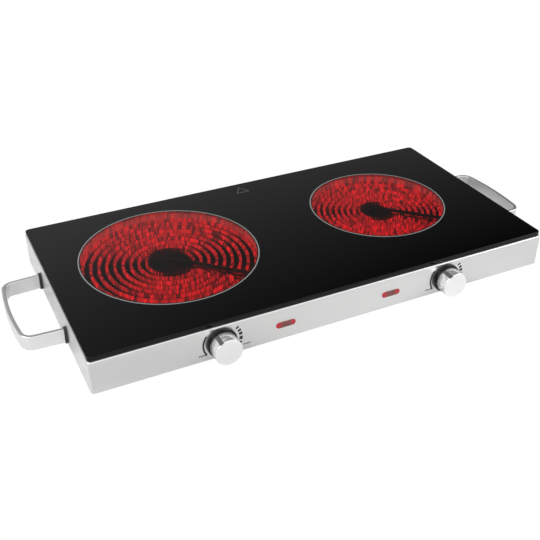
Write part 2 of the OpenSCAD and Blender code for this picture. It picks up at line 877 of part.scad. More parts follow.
module terminal_block() {
    color("#efece2") difference() {
        translate([gland_x - block.x / 2, block_y - block.y / 2, shell_z])
            cube(block);
        for (i = poles) {
            translate([gland_x + i * block_pitch, block_y + block.y, shell_z + block.z / 2])
                rotate([90, 0, 0]) cylinder(d = clamp_d, h = 2 * block.y);
            for (s = [-1, 1])
                translate([gland_x + i * block_pitch, block_y + s * clamp_screw_spread,
                    shell_z + block.z / 2])
                    cylinder(d = block_screw_d + 2 * screw_clearance, h = block.z);
        }
    }
}

module terminal_clamps() {
    clamp_l = block.y - 4;
    color("#c9a94e") for (i = poles)
        translate([gland_x + i * block_pitch, block_y, shell_z + block.z / 2]) {
            rotate([90, 0, 0]) difference() {
                cylinder(d = clamp_d, h = clamp_l, center = true);
                cylinder(d = clamp_hole_d, h = clamp_l + 2, center = true);
            }
            for (s = [-1, 1])
                translate([0, s * clamp_screw_spread, clamp_d / 2 - clamp_screw_sunk])
                    cylinder(d = block_screw_d, h = clamp_screw_l);
        }
}

module earth_stud() {
    stud_l = 14;
    head_d = 7;
    head_t = 2;
    nut_h = 3;
    color("#b8a04c") translate([earth_x, earth_y, 0]) {
        translate([0, 0, base_z - head_t]) cylinder(d = head_d, h = head_t);
        translate([0, 0, base_z]) cylinder(d = earth_d, h = stud_l);
        translate([0, 0, shell_z]) linear_extrude(nut_h) difference() {
            hexagon(head_d);
            circle(d = earth_d - tiny);
        }
    }
}

module cord_gland() {
    color("#19191a") translate([gland_x, rear_y, gland_z]) rotate([-90, 0, 0]) difference() {
        union() {
            rotate_extrude() polygon([
                [0, 0], [gland_flange_d / 2, 0], [gland_flange_d / 2, gland_rim_t],
                [cord_hole_d / 2 + gland_lip, gland_flange_t], [0, gland_flange_t]
            ]);
            translate([0, 0, -sheet_t - gland_inner_l])
                cylinder(d = gland_neck_d, h = sheet_t + gland_inner_l + tiny);
        }
        translate([0, 0, -sheet_t - gland_inner_l - 1])
            cylinder(d = cord_hole_d, h = sheet_t + gland_inner_l + gland_flange_t + 2);
    }
}

module gland_nut() {
    color("#232324") translate([gland_x, inner_rear_y, gland_z]) rotate([90, 0, 0])
        linear_extrude(gland_nut_t) difference() {
            hexagon(gland_nut_af);
            circle(d = gland_neck_d + 2 * running_clearance);
        }
}

// ---------------------------------------------------------------- wiring

// A smooth line through the points, with steps stretches between each two
function through(p, steps) =
    let (n = len(p))
    concat([
        for (i = [0:n - 2], j = [0:steps - 1])
            let (
                a = p[max(i - 1, 0)], b = p[i], c = p[i + 1], d = p[min(i + 2, n - 1)],
                t = j / steps
            )
            0.5 * (2 * b + (c - a) * t + (2 * a - 5 * b + 4 * c - d) * t * t
                + (3 * b - a - 3 * c + d) * t * t * t)
    ], [p[n - 1]]);

function unit(v) = v / norm(v);

// A round wire swept along the points
module wire(p, d) {
    sides = 8;
    line = through(p, 4);
    n = len(line);
    rings = [
        for (i = [0:n - 1])
            let (
                along = unit(line[min(i + 1, n - 1)] - line[max(i - 1, 0)]),
                u = unit(cross(along, abs(along.z) > 0.9 ? [1, 0, 0] : [0, 0, 1])),
                v = cross(along, u)
            )
            each [for (k = [0:sides - 1])
                let (a = 360 * k / sides) line[i] + d / 2 * (cos(a) * u + sin(a) * v)]
    ];
    polyhedron(
        points = rings,
        faces = concat(
            [[for (k = [0:sides - 1]) k]],
            [for (i = [0:n - 2], k = [0:sides - 1])
                let (a = i * sides + k, b = i * sides + (k + 1) % sides)
                    each [[a, b + sides, b], [a, a + sides, b + sides]]],
            [[for (k = [sides - 1:-1:0]) (n - 1) * sides + k]]
        ),
        convexity = 6
    );
}

clamp_z = shell_z + block.z / 2;
clamp_front_y = block_y - block.y / 2;
return_d = 0.65 * wire_d;
lamp_wire_d = 0.6 * wire_d;

// The front mouth of a pole of the terminal block, aside from its middle
function pole(i, aside) = [gland_x + i * block_pitch + aside, clamp_front_y, clamp_z];

// The end of the regulator's blade that faces the middle of the housing
function blade_end(side, row) = [
    side * (knob_x - regulator_w / 2 - tab_l), blade_y, knob_z + row * blade_pitch
];

// The end of one of a heater's two blades, s to either side
function heater_blade_end(side, s) =
    let (
        reach = pan_outer_r(side) + heater_block_gap + heater_block.x + tab_l,
        a = terminal_angle(side)
    )
    [side * zone_x, zone_y, pan_z + heater_block.z / 2 + tab_t / 2]
        + reach * [cos(a), sin(a), 0] + s * heater_blade_pitch / 2 * [-sin(a), cos(a), 0];

// Live feeds: from the outer poles down the middle of the housing to the regulators
module supply_wires() {
    color("#6b3a22") for (side = [left, right]) {
        start = pole(side * 2, 0);
        end = blade_end(side, -1);
        wire([
            start + [0, 2, 0], start - [0, 5, 0], start - [side * 2, 16, 0],
            [gland_x + side * 9, zone_y - 10, shell_z + 8],
            [gland_x + side * 12, zone_y - 78, shell_z + 7],
            end + [-side * 22, 8, 0], end + [-side * 7, 0, 0], end
        ], wire_d);
    }
}

// From each regulator to its heater, and from the heater back to the terminal block
module heater_wires() {
    for (side = [left, right]) {
        blade = blade_end(side, 1);
        fed = heater_blade_end(side, side);
        returned = heater_blade_end(side, -side);
        start = pole(side, -side * 0.95);
        out = [cos(terminal_angle(side)), sin(terminal_angle(side)), 0];
        color("#a03030") wire([
            blade, blade + [-side * 7, 0, 0], blade + [-side * 22, 12, 2],
            [fed.x - side * 16, front_y + 62, knob_z + 3],
            fed + 14 * out + [0, -5, 0], fed + 4 * out, fed
        ], wire_d);
        color("#3a4f8a") wire([
            start + [0, 2, 0], start - [0, 5, 0], start - [0, 16, -2],
            [gland_x + side * 4, zone_y + 14, shell_z + 14],
            returned + 12 * out + [0, 5, 0], returned + 4 * out, returned
        ], return_d);
    }
}

// From each lamp to its regulator, and from the lamp back to the terminal block
module lamp_wires() {
    lamp_rear = inner_front_y + lens_flange_t + lamp_body_l;
    color("#c8c8c8") for (side = [left, right]) {
        outer = [side * (lamp_x + lamp_lead_pitch / 2), lamp_rear - lamp_body_wall - 1, lamp_z];
        inner = [side * (lamp_x - lamp_lead_pitch / 2), lamp_rear - lamp_body_wall - 1, lamp_z];
        blade = blade_end(side, 0);
        start = pole(side, side * 0.95);
        wire([
            outer, outer + [0, 5, 0], outer + [side * 2, 11, 0],
            outer + [side * 16, 12, 0], blade + [-side * 7, 1, 0], blade
        ], lamp_wire_d);
        wire([
            inner, inner + [0, 5, 0], inner + [-side * 2, 12, -1],
            [side * 26, front_y + 56, shell_z + 13],
            [gland_x + side * 14, zone_y - 30, shell_z + 12],
            [gland_x + side * 14, zone_y + 32, shell_z + 11],
            start - [0, 18, -4], start - [0, 5, 0], start + [0, 2, 0]
        ], lamp_wire_d);
    }
}

// From the middle pole round the block to the earth stud
module earth_wire() {
    start = pole(0, 0);
    color("#6f8f2f") wire([
        start + [0, 2, 0], start - [0, 5, 0], start - [-8, 11, -6],
        start + [24, -9, 12], [earth_x + 1, block_y - 2, shell_z + 15],
        [earth_x, earth_y - 12, shell_z + 10], [earth_x, earth_y - 4, shell_z + 8.5],
        [earth_x, earth_y - earth_d / 2 - 0.4, shell_z + 8.5]
    ], return_d);
}

// ---------------------------------------------------------------- nodes

glass_top();
glass_seal();
housing_shell();
base_plate();
base_screws();
foot(0);  // front_left_foot
foot(1);  // front_right_foot
foot(2);  // rear_left_foot
foot(3);  // rear_right_foot
foot_screws();
handle(left);  // left_handle
handle(right);  // right_handle
handle_spacers(left);  // left_handle_spacers
handle_spacers(right);  // right_handle_spacers
handle_screws();
knob_cap(left);  // left_knob_cap
knob_cap(right);  // right_knob_cap
knob_skirt(left);  // left_knob_skirt
knob_skirt(right);  // right_knob_skirt
knob_pointer(left);  // left_knob_pointer
knob_pointer(right);  // right_knob_pointer
regulator_shaft(left);  // left_regulator_shaft
regulator_shaft(right);  // right_regulator_shaft
regulator_body(left);  // left_regulator_body
regulator_body(right);  // right_regulator_body
regulator_cover(left);  // left_regulator_cover
regulator_cover(right);  // right_regulator_cover
regulator_tabs(left);  // left_regulator_tabs
regulator_tabs(right);  // right_regulator_tabs
regulator_nuts();
lamp_lens(left);  // left_lamp_lens
lamp_lens(right);  // right_lamp_lens
lamp_body(left);  // left_lamp_body
lamp_body(right);  // right_lamp_body
lamp_bulb(left);  // left_lamp_bulb
lamp_bulb(right);  // right_lamp_bulb
heater_pan(left);  // left_heater_pan
heater_pan(right);  // right_heater_pan
heater_base(left);  // left_heater_base
heater_base(right);  // right_heater_base
heater_rim(left);  // left_heater_rim
heater_rim(right);  // right_heater_rim
heater_ribbon(left);  // left_heater_ribbon
heater_ribbon(right);  // right_heater_ribbon
limiter_rod(left);  // left_limiter_rod
limiter_rod(right);  // right_limiter_rod
limiter_switch(left);  // left_limiter_switch
limiter_switch(right);  // right_limiter_switch
heater_terminals(left);  // left_heater_terminals
heater_terminals(right);  // right_heater_terminals
heater_springs();
terminal_block();
terminal_clamps();
earth_stud();
cord_gland();
gland_nut();
supply_wires();
heater_wires();
lamp_wires();
earth_wire();
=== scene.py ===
import math

import bmesh
import bpy
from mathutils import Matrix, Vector


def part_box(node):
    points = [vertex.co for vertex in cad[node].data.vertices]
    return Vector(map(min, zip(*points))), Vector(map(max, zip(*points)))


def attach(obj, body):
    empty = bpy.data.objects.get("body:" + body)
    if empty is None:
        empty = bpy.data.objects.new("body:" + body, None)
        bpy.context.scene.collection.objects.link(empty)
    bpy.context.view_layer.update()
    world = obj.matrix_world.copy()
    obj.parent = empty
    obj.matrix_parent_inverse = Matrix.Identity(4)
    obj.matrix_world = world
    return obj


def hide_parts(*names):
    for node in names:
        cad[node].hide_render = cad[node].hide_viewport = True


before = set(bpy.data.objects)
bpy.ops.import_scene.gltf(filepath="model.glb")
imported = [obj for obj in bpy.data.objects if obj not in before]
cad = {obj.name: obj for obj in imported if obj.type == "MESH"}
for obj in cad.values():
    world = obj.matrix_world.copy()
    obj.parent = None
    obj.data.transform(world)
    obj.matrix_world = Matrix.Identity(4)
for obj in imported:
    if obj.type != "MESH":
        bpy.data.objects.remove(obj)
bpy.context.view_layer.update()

# ---------------------------------------------------------------- base plate and feet
# A pressed sheet closes the underside, vented under each heater and screwed to the
# housing's lower flange. It stands on four moulded rubber feet.

# No part comes off its machine with one even tone: each surface gets a light and a dark
# tone, gloss that varies in broad patches as it would from handling, and a fine relief.
def uneven_surface():
    g = bpy.data.node_groups.new("uneven surface", "ShaderNodeTree")
    for name, kind in (("Light Tone", "NodeSocketColor"), ("Dark Tone", "NodeSocketColor"),
                       ("Grain", "NodeSocketVector"), ("Scale", "NodeSocketFloat"),
                       ("Roughness", "NodeSocketFloat"), ("Spread", "NodeSocketFloat")):
        g.interface.new_socket(name, in_out="INPUT", socket_type=kind)
    for name, kind in (("Color", "NodeSocketColor"), ("Roughness", "NodeSocketFloat"),
                       ("Height", "NodeSocketFloat")):
        g.interface.new_socket(name, in_out="OUTPUT", socket_type=kind)
    n, link = g.nodes, g.links.new
    given, put = n.new("NodeGroupInput"), n.new("NodeGroupOutput")
    place = n.new("ShaderNodeTexCoord")
    stretch = n.new("ShaderNodeVectorMath")
    stretch.operation = "MULTIPLY"
    fine, broad = n.new("ShaderNodeTexNoise"), n.new("ShaderNodeTexNoise")
    fine.inputs["Detail"].default_value = 4
    broad.inputs["Scale"].default_value = 22
    broad.inputs["Detail"].default_value = 3
    tone = n.new("ShaderNodeMix")
    tone.data_type = "RGBA"
    gloss = n.new("ShaderNodeMath")
    gloss.operation = "MULTIPLY_ADD"
    centred = n.new("ShaderNodeMath")
    centred.operation = "SUBTRACT"
    centred.inputs[1].default_value = 0.5
    link(place.outputs["Object"], stretch.inputs[0])
    link(given.outputs["Grain"], stretch.inputs[1])
    link(stretch.outputs[0], fine.inputs["Vector"])
    link(given.outputs["Scale"], fine.inputs["Scale"])
    link(place.outputs["Object"], broad.inputs["Vector"])
    link(fine.outputs["Fac"], tone.inputs["Factor"])
    link(given.outputs["Dark Tone"], tone.inputs["A"])
    link(given.outputs["Light Tone"], tone.inputs["B"])
    link(broad.outputs["Fac"], centred.inputs[0])
    link(centred.outputs[0], gloss.inputs[0])
    link(given.outputs["Spread"], gloss.inputs[1])
    link(given.outputs["Roughness"], gloss.inputs[2])
    link(tone.outputs["Result"], put.inputs["Color"])
    link(gloss.outputs[0], put.inputs["Roughness"])
    link(fine.outputs["Fac"], put.inputs["Height"])
    return g


surface = uneven_surface()


def finish(name, light, dark, roughness, scale=300, grain=(1, 1, 1), spread=0.1,
           metallic=0.0, relief=0.0, specular=0.5, coat=0.0):
    m = bpy.data.materials.new(name)
    m.use_nodes = True
    n, link = m.node_tree.nodes, m.node_tree.links.new
    shader = n["Principled BSDF"]
    g = n.new("ShaderNodeGroup")
    g.node_tree = surface
    g.inputs["Light Tone"].default_value = (*light, 1)
    g.inputs["Dark Tone"].default_value = (*dark, 1)
    g.inputs["Grain"].default_value = grain
    g.inputs["Scale"].default_value = scale
    g.inputs["Roughness"].default_value = roughness
    g.inputs["Spread"].default_value = spread
    link(g.outputs["Color"], shader.inputs["Base Color"])
    link(g.outputs["Roughness"], shader.inputs["Roughness"])
    if relief:
        bump = n.new("ShaderNodeBump")
        bump.inputs["Strength"].default_value = 1
        bump.inputs["Distance"].default_value = relief
        link(g.outputs["Height"], bump.inputs["Height"])
        link(bump.outputs["Normal"], shader.inputs["Normal"])
    shader.inputs["Metallic"].default_value = metallic
    shader.inputs["Specular IOR Level"].default_value = specular
    shader.inputs["Coat Weight"].default_value = coat
    return m


def dress(material, *names):
    for name in names:
        cad[name].data.materials.clear()
        cad[name].data.materials.append(material)


dress(finish("galvanised sheet", (0.52, 0.53, 0.54), (0.38, 0.39, 0.40), 0.42, scale=160,
             metallic=1, relief=2e-5), "base_plate")
dress(finish("zinc plated screw", (0.60, 0.60, 0.58), (0.42, 0.42, 0.41), 0.32, scale=900,
             metallic=1), "base_screws", "foot_screws", "handle_screws")
dress(finish("moulded rubber", (0.030, 0.030, 0.032), (0.014, 0.014, 0.015), 0.62, scale=900,
             relief=6e-5, specular=0.3),
      "front_left_foot", "front_right_foot", "rear_left_foot", "rear_right_foot")

# ---------------------------------------------------------------- housing
# One strip of stainless sheet folded into four walls with flanges top and bottom. The
# satin grain runs lengthwise along the walls, as the sheet was brushed before folding.
dress(finish("satin stainless", (0.82, 0.82, 0.815), (0.75, 0.75, 0.745), 0.36, scale=6,
             grain=(1, 1, 190), metallic=1, spread=0.06, relief=4e-6), "housing_shell")

# ---------------------------------------------------------------- connections
# Porcelain terminal block with brass clamps, a brass earth stud through the base plate
# and a moulded gland with its lock nut in the rear wall.
dress(finish("glazed porcelain", (0.83, 0.80, 0.73), (0.74, 0.71, 0.64), 0.28, scale=120,
             coat=0.3), "terminal_block")
dress(finish("turned brass", (0.68, 0.47, 0.17), (0.50, 0.33, 0.11), 0.3, scale=600,
             metallic=1), "terminal_clamps", "earth_stud")
dress(finish("moulded polyamide", (0.022, 0.022, 0.023), (0.012, 0.012, 0.013), 0.45,
             scale=500, relief=3e-5), "cord_gland", "gland_nut")

# ---------------------------------------------------------------- heaters
# Deep drawn pans on arched leaf springs. Each holds a pressed disc of mineral
# insulation with a raised rim that seals against the glass and keeps the glow in. The
# disc's dark tone is painted shade for the little light that reaches it under the glass.
def both(name):
    return f"left_{name}", f"right_{name}"


dress(finish("spring steel", (0.33, 0.34, 0.37), (0.22, 0.23, 0.26), 0.35, scale=260,
             metallic=1), "heater_springs")
dress(finish("aluminised pan", (0.56, 0.57, 0.58), (0.42, 0.43, 0.44), 0.4, scale=200,
             metallic=1, relief=2e-5), *both("heater_pan"))
dress(finish("steatite", (0.72, 0.69, 0.62), (0.61, 0.58, 0.51), 0.5, scale=300),
      *both("limiter_switch"), *both("heater_terminals"))
dress(finish("quartz tube", (0.060, 0.040, 0.035), (0.022, 0.014, 0.012), 0.4, scale=240,
             relief=4e-5), *both("limiter_rod"))


# ---------------------------------------------------------------- heating ribbon
# A thin resistance strip stands on edge in the insulation. It is corrugated by toothed
# rollers and laid to and fro in open rings, so it can grow as it glows.
def corrugator():
    g = bpy.data.node_groups.new("corrugated ribbon", "GeometryNodeTree")
    sock = g.interface.new_socket
    sock("Path", in_out="INPUT", socket_type="NodeSocketGeometry")
    for name, value in (("Pitch", 0.0037), ("Swing", 0.0014), ("Height", 0.0055),
                        ("Thickness", 0.0004), ("Step", 0.0006)):
        sock(name, in_out="INPUT", socket_type="NodeSocketFloat").default_value = value
    sock("Material", in_out="INPUT", socket_type="NodeSocketMaterial")
    sock("Ribbon", in_out="OUTPUT", socket_type="NodeSocketGeometry")
    n, link = g.nodes, g.links.new
    given, put = n.new("NodeGroupInput"), n.new("NodeGroupOutput")
    cut = n.new("GeometryNodeResampleCurve")
    cut.mode = "LENGTH"
    along = n.new("GeometryNodeSplineParameter")
    waves, turn, wave, swing = (n.new("ShaderNodeMath") for _ in range(4))
    waves.operation, turn.operation = "DIVIDE", "MULTIPLY"
    wave.operation, swing.operation = "SINE", "MULTIPLY"
    turn.inputs[1].default_value = 2 * math.pi
    tangent = n.new("GeometryNodeInputTangent")
    aside, shift = n.new("ShaderNodeVectorMath"), n.new("ShaderNodeVectorMath")
    aside.operation, shift.operation = "CROSS_PRODUCT", "SCALE"
    aside.inputs[1].default_value = (0, 0, 1)
    move = n.new("GeometryNodeSetPosition")
    upright = n.new("GeometryNodeSetCurveNormal")
    upright.mode = "Z_UP"
    section = n.new("GeometryNodeCurvePrimitiveQuadrilateral")
    sweep = n.new("GeometryNodeCurveToMesh")
    sweep.inputs["Fill Caps"].default_value = True
    whole, skin = n.new("GeometryNodeRealizeInstances"), n.new("GeometryNodeSetMaterial")
    link(given.outputs["Path"], cut.inputs["Curve"])
    link(given.outputs["Step"], cut.inputs["Length"])
    link(along.outputs["Length"], waves.inputs[0])
    link(given.outputs["Pitch"], waves.inputs[1])
    link(waves.outputs[0], turn.inputs[0])
    link(turn.outputs[0], wave.inputs[0])
    link(wave.outputs[0], swing.inputs[0])
    link(given.outputs["Swing"], swing.inputs[1])
    link(tangent.outputs[0], aside.inputs[0])
    link(aside.outputs[0], shift.inputs[0])
    link(swing.outputs[0], shift.inputs["Scale"])
    link(cut.outputs[0], move.inputs["Geometry"])
    link(shift.outputs[0], move.inputs["Offset"])
    link(move.outputs[0], upright.inputs[0])
    link(given.outputs["Thickness"], section.inputs["Width"])
    link(given.outputs["Height"], section.inputs["Height"])
    link(upright.outputs[0], sweep.inputs["Curve"])
    link(section.outputs[0], sweep.inputs["Profile Curve"])
    link(sweep.outputs[0], whole.inputs[0])
    link(whole.outputs[0], skin.inputs["Geometry"])
    link(given.outputs["Material"], skin.inputs["Material"])
    link(skin.outputs[0], put.inputs["Ribbon"])
    return g


# A hot strip never glows evenly: the pattern follows the turns round the zone's middle in
# streaks, and fades where the innermost turn is held by its cooler clips.
def glow_pattern():
    g = bpy.data.node_groups.new("glow pattern", "ShaderNodeTree")
    g.interface.new_socket("Middle", in_out="INPUT", socket_type="NodeSocketVector")
    g.interface.new_socket("Core", in_out="INPUT", socket_type="NodeSocketFloat")
    g.interface.new_socket("Color", in_out="OUTPUT", socket_type="NodeSocketColor")
    g.interface.new_socket("Reach", in_out="OUTPUT", socket_type="NodeSocketFloat")
    n, link = g.nodes, g.links.new
    given, put = n.new("NodeGroupInput"), n.new("NodeGroupOutput")
    place, away = n.new("ShaderNodeTexCoord"), n.new("ShaderNodeVectorMath")
    away.operation = "SUBTRACT"
    split, bearing, reach = (n.new("ShaderNodeSeparateXYZ"), n.new("ShaderNodeMath"),
                             n.new("ShaderNodeVectorMath"))
    bearing.operation, reach.operation = "ARCTAN2", "LENGTH"
    flat = n.new("ShaderNodeCombineXYZ")
    lean, rows = n.new("ShaderNodeMath"), n.new("ShaderNodeMath")
    lean.operation, rows.operation = "MULTIPLY_ADD", "MULTIPLY"
    lean.inputs[1].default_value = 5
    rows.inputs[1].default_value = 4.8
    polar = n.new("ShaderNodeCombineXYZ")
    patches = n.new("ShaderNodeTexNoise")
    patches.inputs["Scale"].default_value = 17
    patches.inputs["Detail"].default_value = 5
    patches.inputs["Roughness"].default_value = 0.66
    heat = n.new("ShaderNodeValToRGB")
    heat.color_ramp.elements[0].position = 0.42
    heat.color_ramp.elements[0].color = (0.095, 0.006, 0.006, 1)
    heat.color_ramp.elements[1].position = 0.63
    heat.color_ramp.elements[1].color = (0.80, 0.012, 0.016, 1)
    narrow = n.new("ShaderNodeVectorMath")
    narrow.operation = "MULTIPLY"
    narrow.inputs[1].default_value = (1, 0.76, 0)
    inside, ratio, fade = (n.new("ShaderNodeVectorMath"), n.new("ShaderNodeMath"),
                           n.new("ShaderNodeMapRange"))
    inside.operation, ratio.operation = "LENGTH", "DIVIDE"
    fade.interpolation_type = "SMOOTHSTEP"
    fade.inputs["From Min"].default_value = 1.32
    fade.inputs["From Max"].default_value = 1.52
    ragged, turned_off, across, cold = (n.new("ShaderNodeMath") for _ in range(4))
    ragged.operation = across.operation = "MULTIPLY_ADD"
    ragged.inputs[1].default_value = 0.9
    turned_off.operation, cold.operation = "ADD", "ABSOLUTE"
    turned_off.inputs[1].default_value = math.pi / 4
    across.inputs[1].default_value = 1.1
    ends, both_cold = n.new("ShaderNodeMapRange"), n.new("ShaderNodeMath")
    ends.interpolation_type = "SMOOTHSTEP"
    ends.inputs["From Min"].default_value = 0.48
    ends.inputs["From Max"].default_value = 0.80
    both_cold.operation = "MULTIPLY"
    cool = n.new("ShaderNodeMix")
    cool.data_type = "RGBA"
    cool.inputs["A"].default_value = (0.012, 0.001, 0.001, 1)
    link(place.outputs["Object"], away.inputs[0])
    link(given.outputs["Middle"], away.inputs[1])
    link(away.outputs[0], split.inputs[0])
    link(split.outputs["X"], flat.inputs["X"])
    link(split.outputs["Y"], flat.inputs["Y"])
    link(split.outputs["Y"], bearing.inputs[0])
    link(split.outputs["X"], bearing.inputs[1])
    link(flat.outputs[0], reach.inputs[0])
    link(reach.outputs["Value"], lean.inputs[0])
    link(bearing.outputs[0], lean.inputs[2])
    link(reach.outputs["Value"], rows.inputs[0])
    link(lean.outputs[0], polar.inputs["X"])
    link(rows.outputs[0], polar.inputs["Y"])
    link(polar.outputs[0], patches.inputs["Vector"])
    link(patches.outputs["Fac"], heat.inputs["Fac"])
    link(away.outputs[0], narrow.inputs[0])
    link(narrow.outputs[0], inside.inputs[0])
    link(inside.outputs["Value"], ratio.inputs[0])
    link(given.outputs["Core"], ratio.inputs[1])
    link(patches.outputs["Fac"], ragged.inputs[0])
    link(ratio.outputs[0], ragged.inputs[2])
    link(ragged.outputs[0], fade.inputs["Value"])
    link(bearing.outputs[0], turned_off.inputs[0])
    link(turned_off.outputs[0], cold.inputs[0])
    link(patches.outputs["Fac"], across.inputs[0])
    link(cold.outputs[0], across.inputs[2])
    link(across.outputs[0], ends.inputs["Value"])
    link(fade.outputs["Result"], both_cold.inputs[0])
    link(ends.outputs["Result"], both_cold.inputs[1])
    link(both_cold.outputs[0], cool.inputs["Factor"])
    link(heat.outputs["Color"], cool.inputs["B"])
    link(cool.outputs["Result"], put.inputs["Color"])
    link(reach.outputs["Value"], put.inputs["Reach"])
    return g


glowing = glow_pattern()


# Puts the glow round a zone's middle into a material. The two sockets that come back tell
# how far out a point lies, and take the share of the glow that it shows.
def glow_in(material, middle, core_r, strength):
    n, link = material.node_tree.nodes, material.node_tree.links.new
    g, lit = n.new("ShaderNodeGroup"), n.new("ShaderNodeMix")
    g.node_tree = glowing
    g.inputs["Middle"].default_value = (middle.x, middle.y, 0)
    g.inputs["Core"].default_value = core_r
    lit.data_type = "RGBA"
    lit.inputs["Factor"].default_value = 1
    lit.inputs["A"].default_value = (0, 0, 0, 1)
    link(g.outputs["Color"], lit.inputs["B"])
    link(lit.outputs["Result"], n["Principled BSDF"].inputs["Emission Color"])
    n["Principled BSDF"].inputs["Emission Strength"].default_value = strength
    return n, link, g.outputs["Reach"], lit.inputs["Factor"]


corrugate = corrugator()
ribbon_rows, lane, core = 9, 0.013, {"left": 0.026, "right": 0.0205}
ribbon_edge, rim_wall, rim_lip = 0.0004, 0.0079, 0.0062
for side in ("left", "right"):
    low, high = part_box(f"{side}_heater_ribbon")
    pan_low, pan_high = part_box(f"{side}_heater_pan")
    middle = (pan_low + pan_high) / 2
    outermost = middle.x - low.x - ribbon_edge
    rows = [core[side] + (outermost - core[side]) * i / (ribbon_rows - 1)
            for i in range(ribbon_rows)]
    path = []
    for i, r in enumerate(rows):
        start = math.asin(lane / 2 / r)
        turns = [start + (2 * math.pi - 2 * start) * k / 120 for k in range(121)]
        if i % 2 == 0:
            turns.reverse()
        path += [Vector((r * math.cos(t), r * math.sin(t))) for t in turns]
    turned = math.radians(-45)
    line = bpy.data.curves.new(f"{side}_ribbon_path", "CURVE")
    line.dimensions = "3D"
    spline = line.splines.new("POLY")
    spline.points.add(len(path) - 1)
    for point, p in zip(spline.points, path):
        x = p.x * math.cos(turned) - p.y * math.sin(turned)
        y = p.x * math.sin(turned) + p.y * math.cos(turned)
        point.co = (middle.x + x, middle.y + y, (low.z + high.z) / 2, 1)
    guide = bpy.data.objects.new(f"{side}_ribbon_path", line)
    bpy.context.scene.collection.objects.link(guide)
    form = guide.modifiers.new("corrugate", "NODES")
    form.node_group = corrugate
    glow = bpy.data.materials.new(f"{side} glow")
    glow.use_nodes = True
    shader = glow.node_tree.nodes["Principled BSDF"]
    shader.inputs["Base Color"].default_value = (0.05, 0.03, 0.03, 1)
    shader.inputs["Roughness"].default_value = 0.7
    glow_in(glow, middle, core[side], 4.6)
    wanted = {"Height": high.z - low.z, "Material": glow}
    for item in corrugate.interface.items_tree:
        if item.item_type == "SOCKET" and item.in_out == "INPUT" and item.name in wanted:
            form[item.identifier] = wanted[item.name]
    mesh = bpy.data.meshes.new_from_object(
        guide.evaluated_get(bpy.context.evaluated_depsgraph_get()))
    bpy.data.objects.remove(guide)
    ribbon = bpy.data.objects.new(f"{side}_glowing_ribbon", mesh)
    bpy.context.scene.collection.objects.link(ribbon)
    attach(ribbon, "housing")
    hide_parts(f"{side}_heater_ribbon")

    # the rim's inner wall and lip stand close to the outer turn and carry a painted glow from it
    rim_low, rim_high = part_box(f"{side}_heater_rim")
    rim_painted_glow = finish(f"{side} rim painted glow", (0.80, 0.74, 0.66), (0.42, 0.38, 0.33), 0.9, scale=150,
                 grain=(1, 1, 0.2), relief=3e-4, specular=0.1)
    n, link, reach, lit = glow_in(rim_painted_glow, middle, core[side], 2.6)
    wall = n.new("ShaderNodeMath")
    wall.operation = "LESS_THAN"
    wall.inputs[1].default_value = (rim_high.x - rim_low.x) / 2 - rim_wall + rim_lip
    link(reach, wall.inputs[0])
    link(wall.outputs[0], lit)
    dress(rim_painted_glow, f"{side}_heater_rim")

    # the board under the turns is painted dark as painted shade under the glass, and carries
    # a painted glow where the turns stand one behind another
    board_painted_shade_and_glow = finish(f"{side} mineral board painted shade and glow", (0.050, 0.044, 0.040),
                       (0.022, 0.020, 0.019), 0.9, scale=420, relief=2e-4, specular=0.1)
    n, link, _, lit = glow_in(board_painted_shade_and_glow, middle, core[side], 2.2)
    place, away, heading, split, lean, spread = (
        n.new(f"ShaderNode{kind}") for kind in ("TexCoord", "VectorMath", "VectorMath",
                                                "SeparateXYZ", "Math", "MapRange"))
    away.operation, heading.operation, lean.operation = "SUBTRACT", "NORMALIZE", "ABSOLUTE"
    away.inputs[1].default_value = (middle.x, middle.y, low.z)
    spread.interpolation_type = "SMOOTHSTEP"
    spread.inputs["From Min"].default_value = 0.45
    spread.inputs["From Max"].default_value = 0.85
    link(place.outputs["Object"], away.inputs[0])
    link(away.outputs[0], heading.inputs[0])
    link(heading.outputs[0], split.inputs[0])
    link(split.outputs["Y"], lean.inputs[0])
    link(lean.outputs[0], spread.inputs["Value"])
    link(spread.outputs["Result"], lit)
    dress(board_painted_shade_and_glow, f"{side}_heater_base")

# ---------------------------------------------------------------- regulators and lamps
# Moulded thermoset switch bodies with plated blades, held by a lock nut behind each knob.
# Each indicator is a small glow lamp in a white holder behind its red lens.
dress(finish("thermoset body", (0.78, 0.75, 0.67), (0.68, 0.65, 0.57), 0.5, scale=300,
             relief=2e-5), *both("regulator_body"), *both("regulator_cover"))
dress(finish("nickel plate", (0.70, 0.68, 0.62), (0.52, 0.50, 0.45), 0.25, scale=500,
             metallic=1), *both("regulator_tabs"), *both("regulator_shaft"),
      "regulator_nuts")
dress(finish("white holder", (0.80, 0.79, 0.75), (0.71, 0.70, 0.66), 0.45, scale=300),
      *both("lamp_body"))
dress(finish("glow lamp glass", (0.75, 0.36, 0.18), (0.55, 0.22, 0.10), 0.15, scale=200),
      *both("lamp_bulb"))


# ---------------------------------------------------------------- indicator lenses
# Red polycarbonate pressed in from behind: a slot with round ends that stands a little
# proud of the steel, softly domed, with a flange and a stepped core inside.

# A finished piece: faces turned outwards, smooth except at real edges, and stood on its body
def piece(name, bm, material, body, slot, *stands_for, smooth=40):
    bmesh.ops.remove_doubles(bm, verts=bm.verts, dist=1e-7)
    bmesh.ops.recalc_face_normals(bm, faces=bm.faces)
    for f in bm.faces:
        f.smooth = len(f.verts) <= 4
    for e in bm.edges:
        e.smooth = len(e.link_faces) == 2 and e.calc_face_angle(0) < math.radians(smooth)
    mesh = bpy.data.meshes.new(name)
    bm.to_mesh(mesh)
    bm.free()
    mesh.materials.append(material)
    o = bpy.data.objects.new(name, mesh)
    bpy.context.scene.collection.objects.link(o)
    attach(o, body)
    if stands_for:
        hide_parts(*stands_for)
    return o


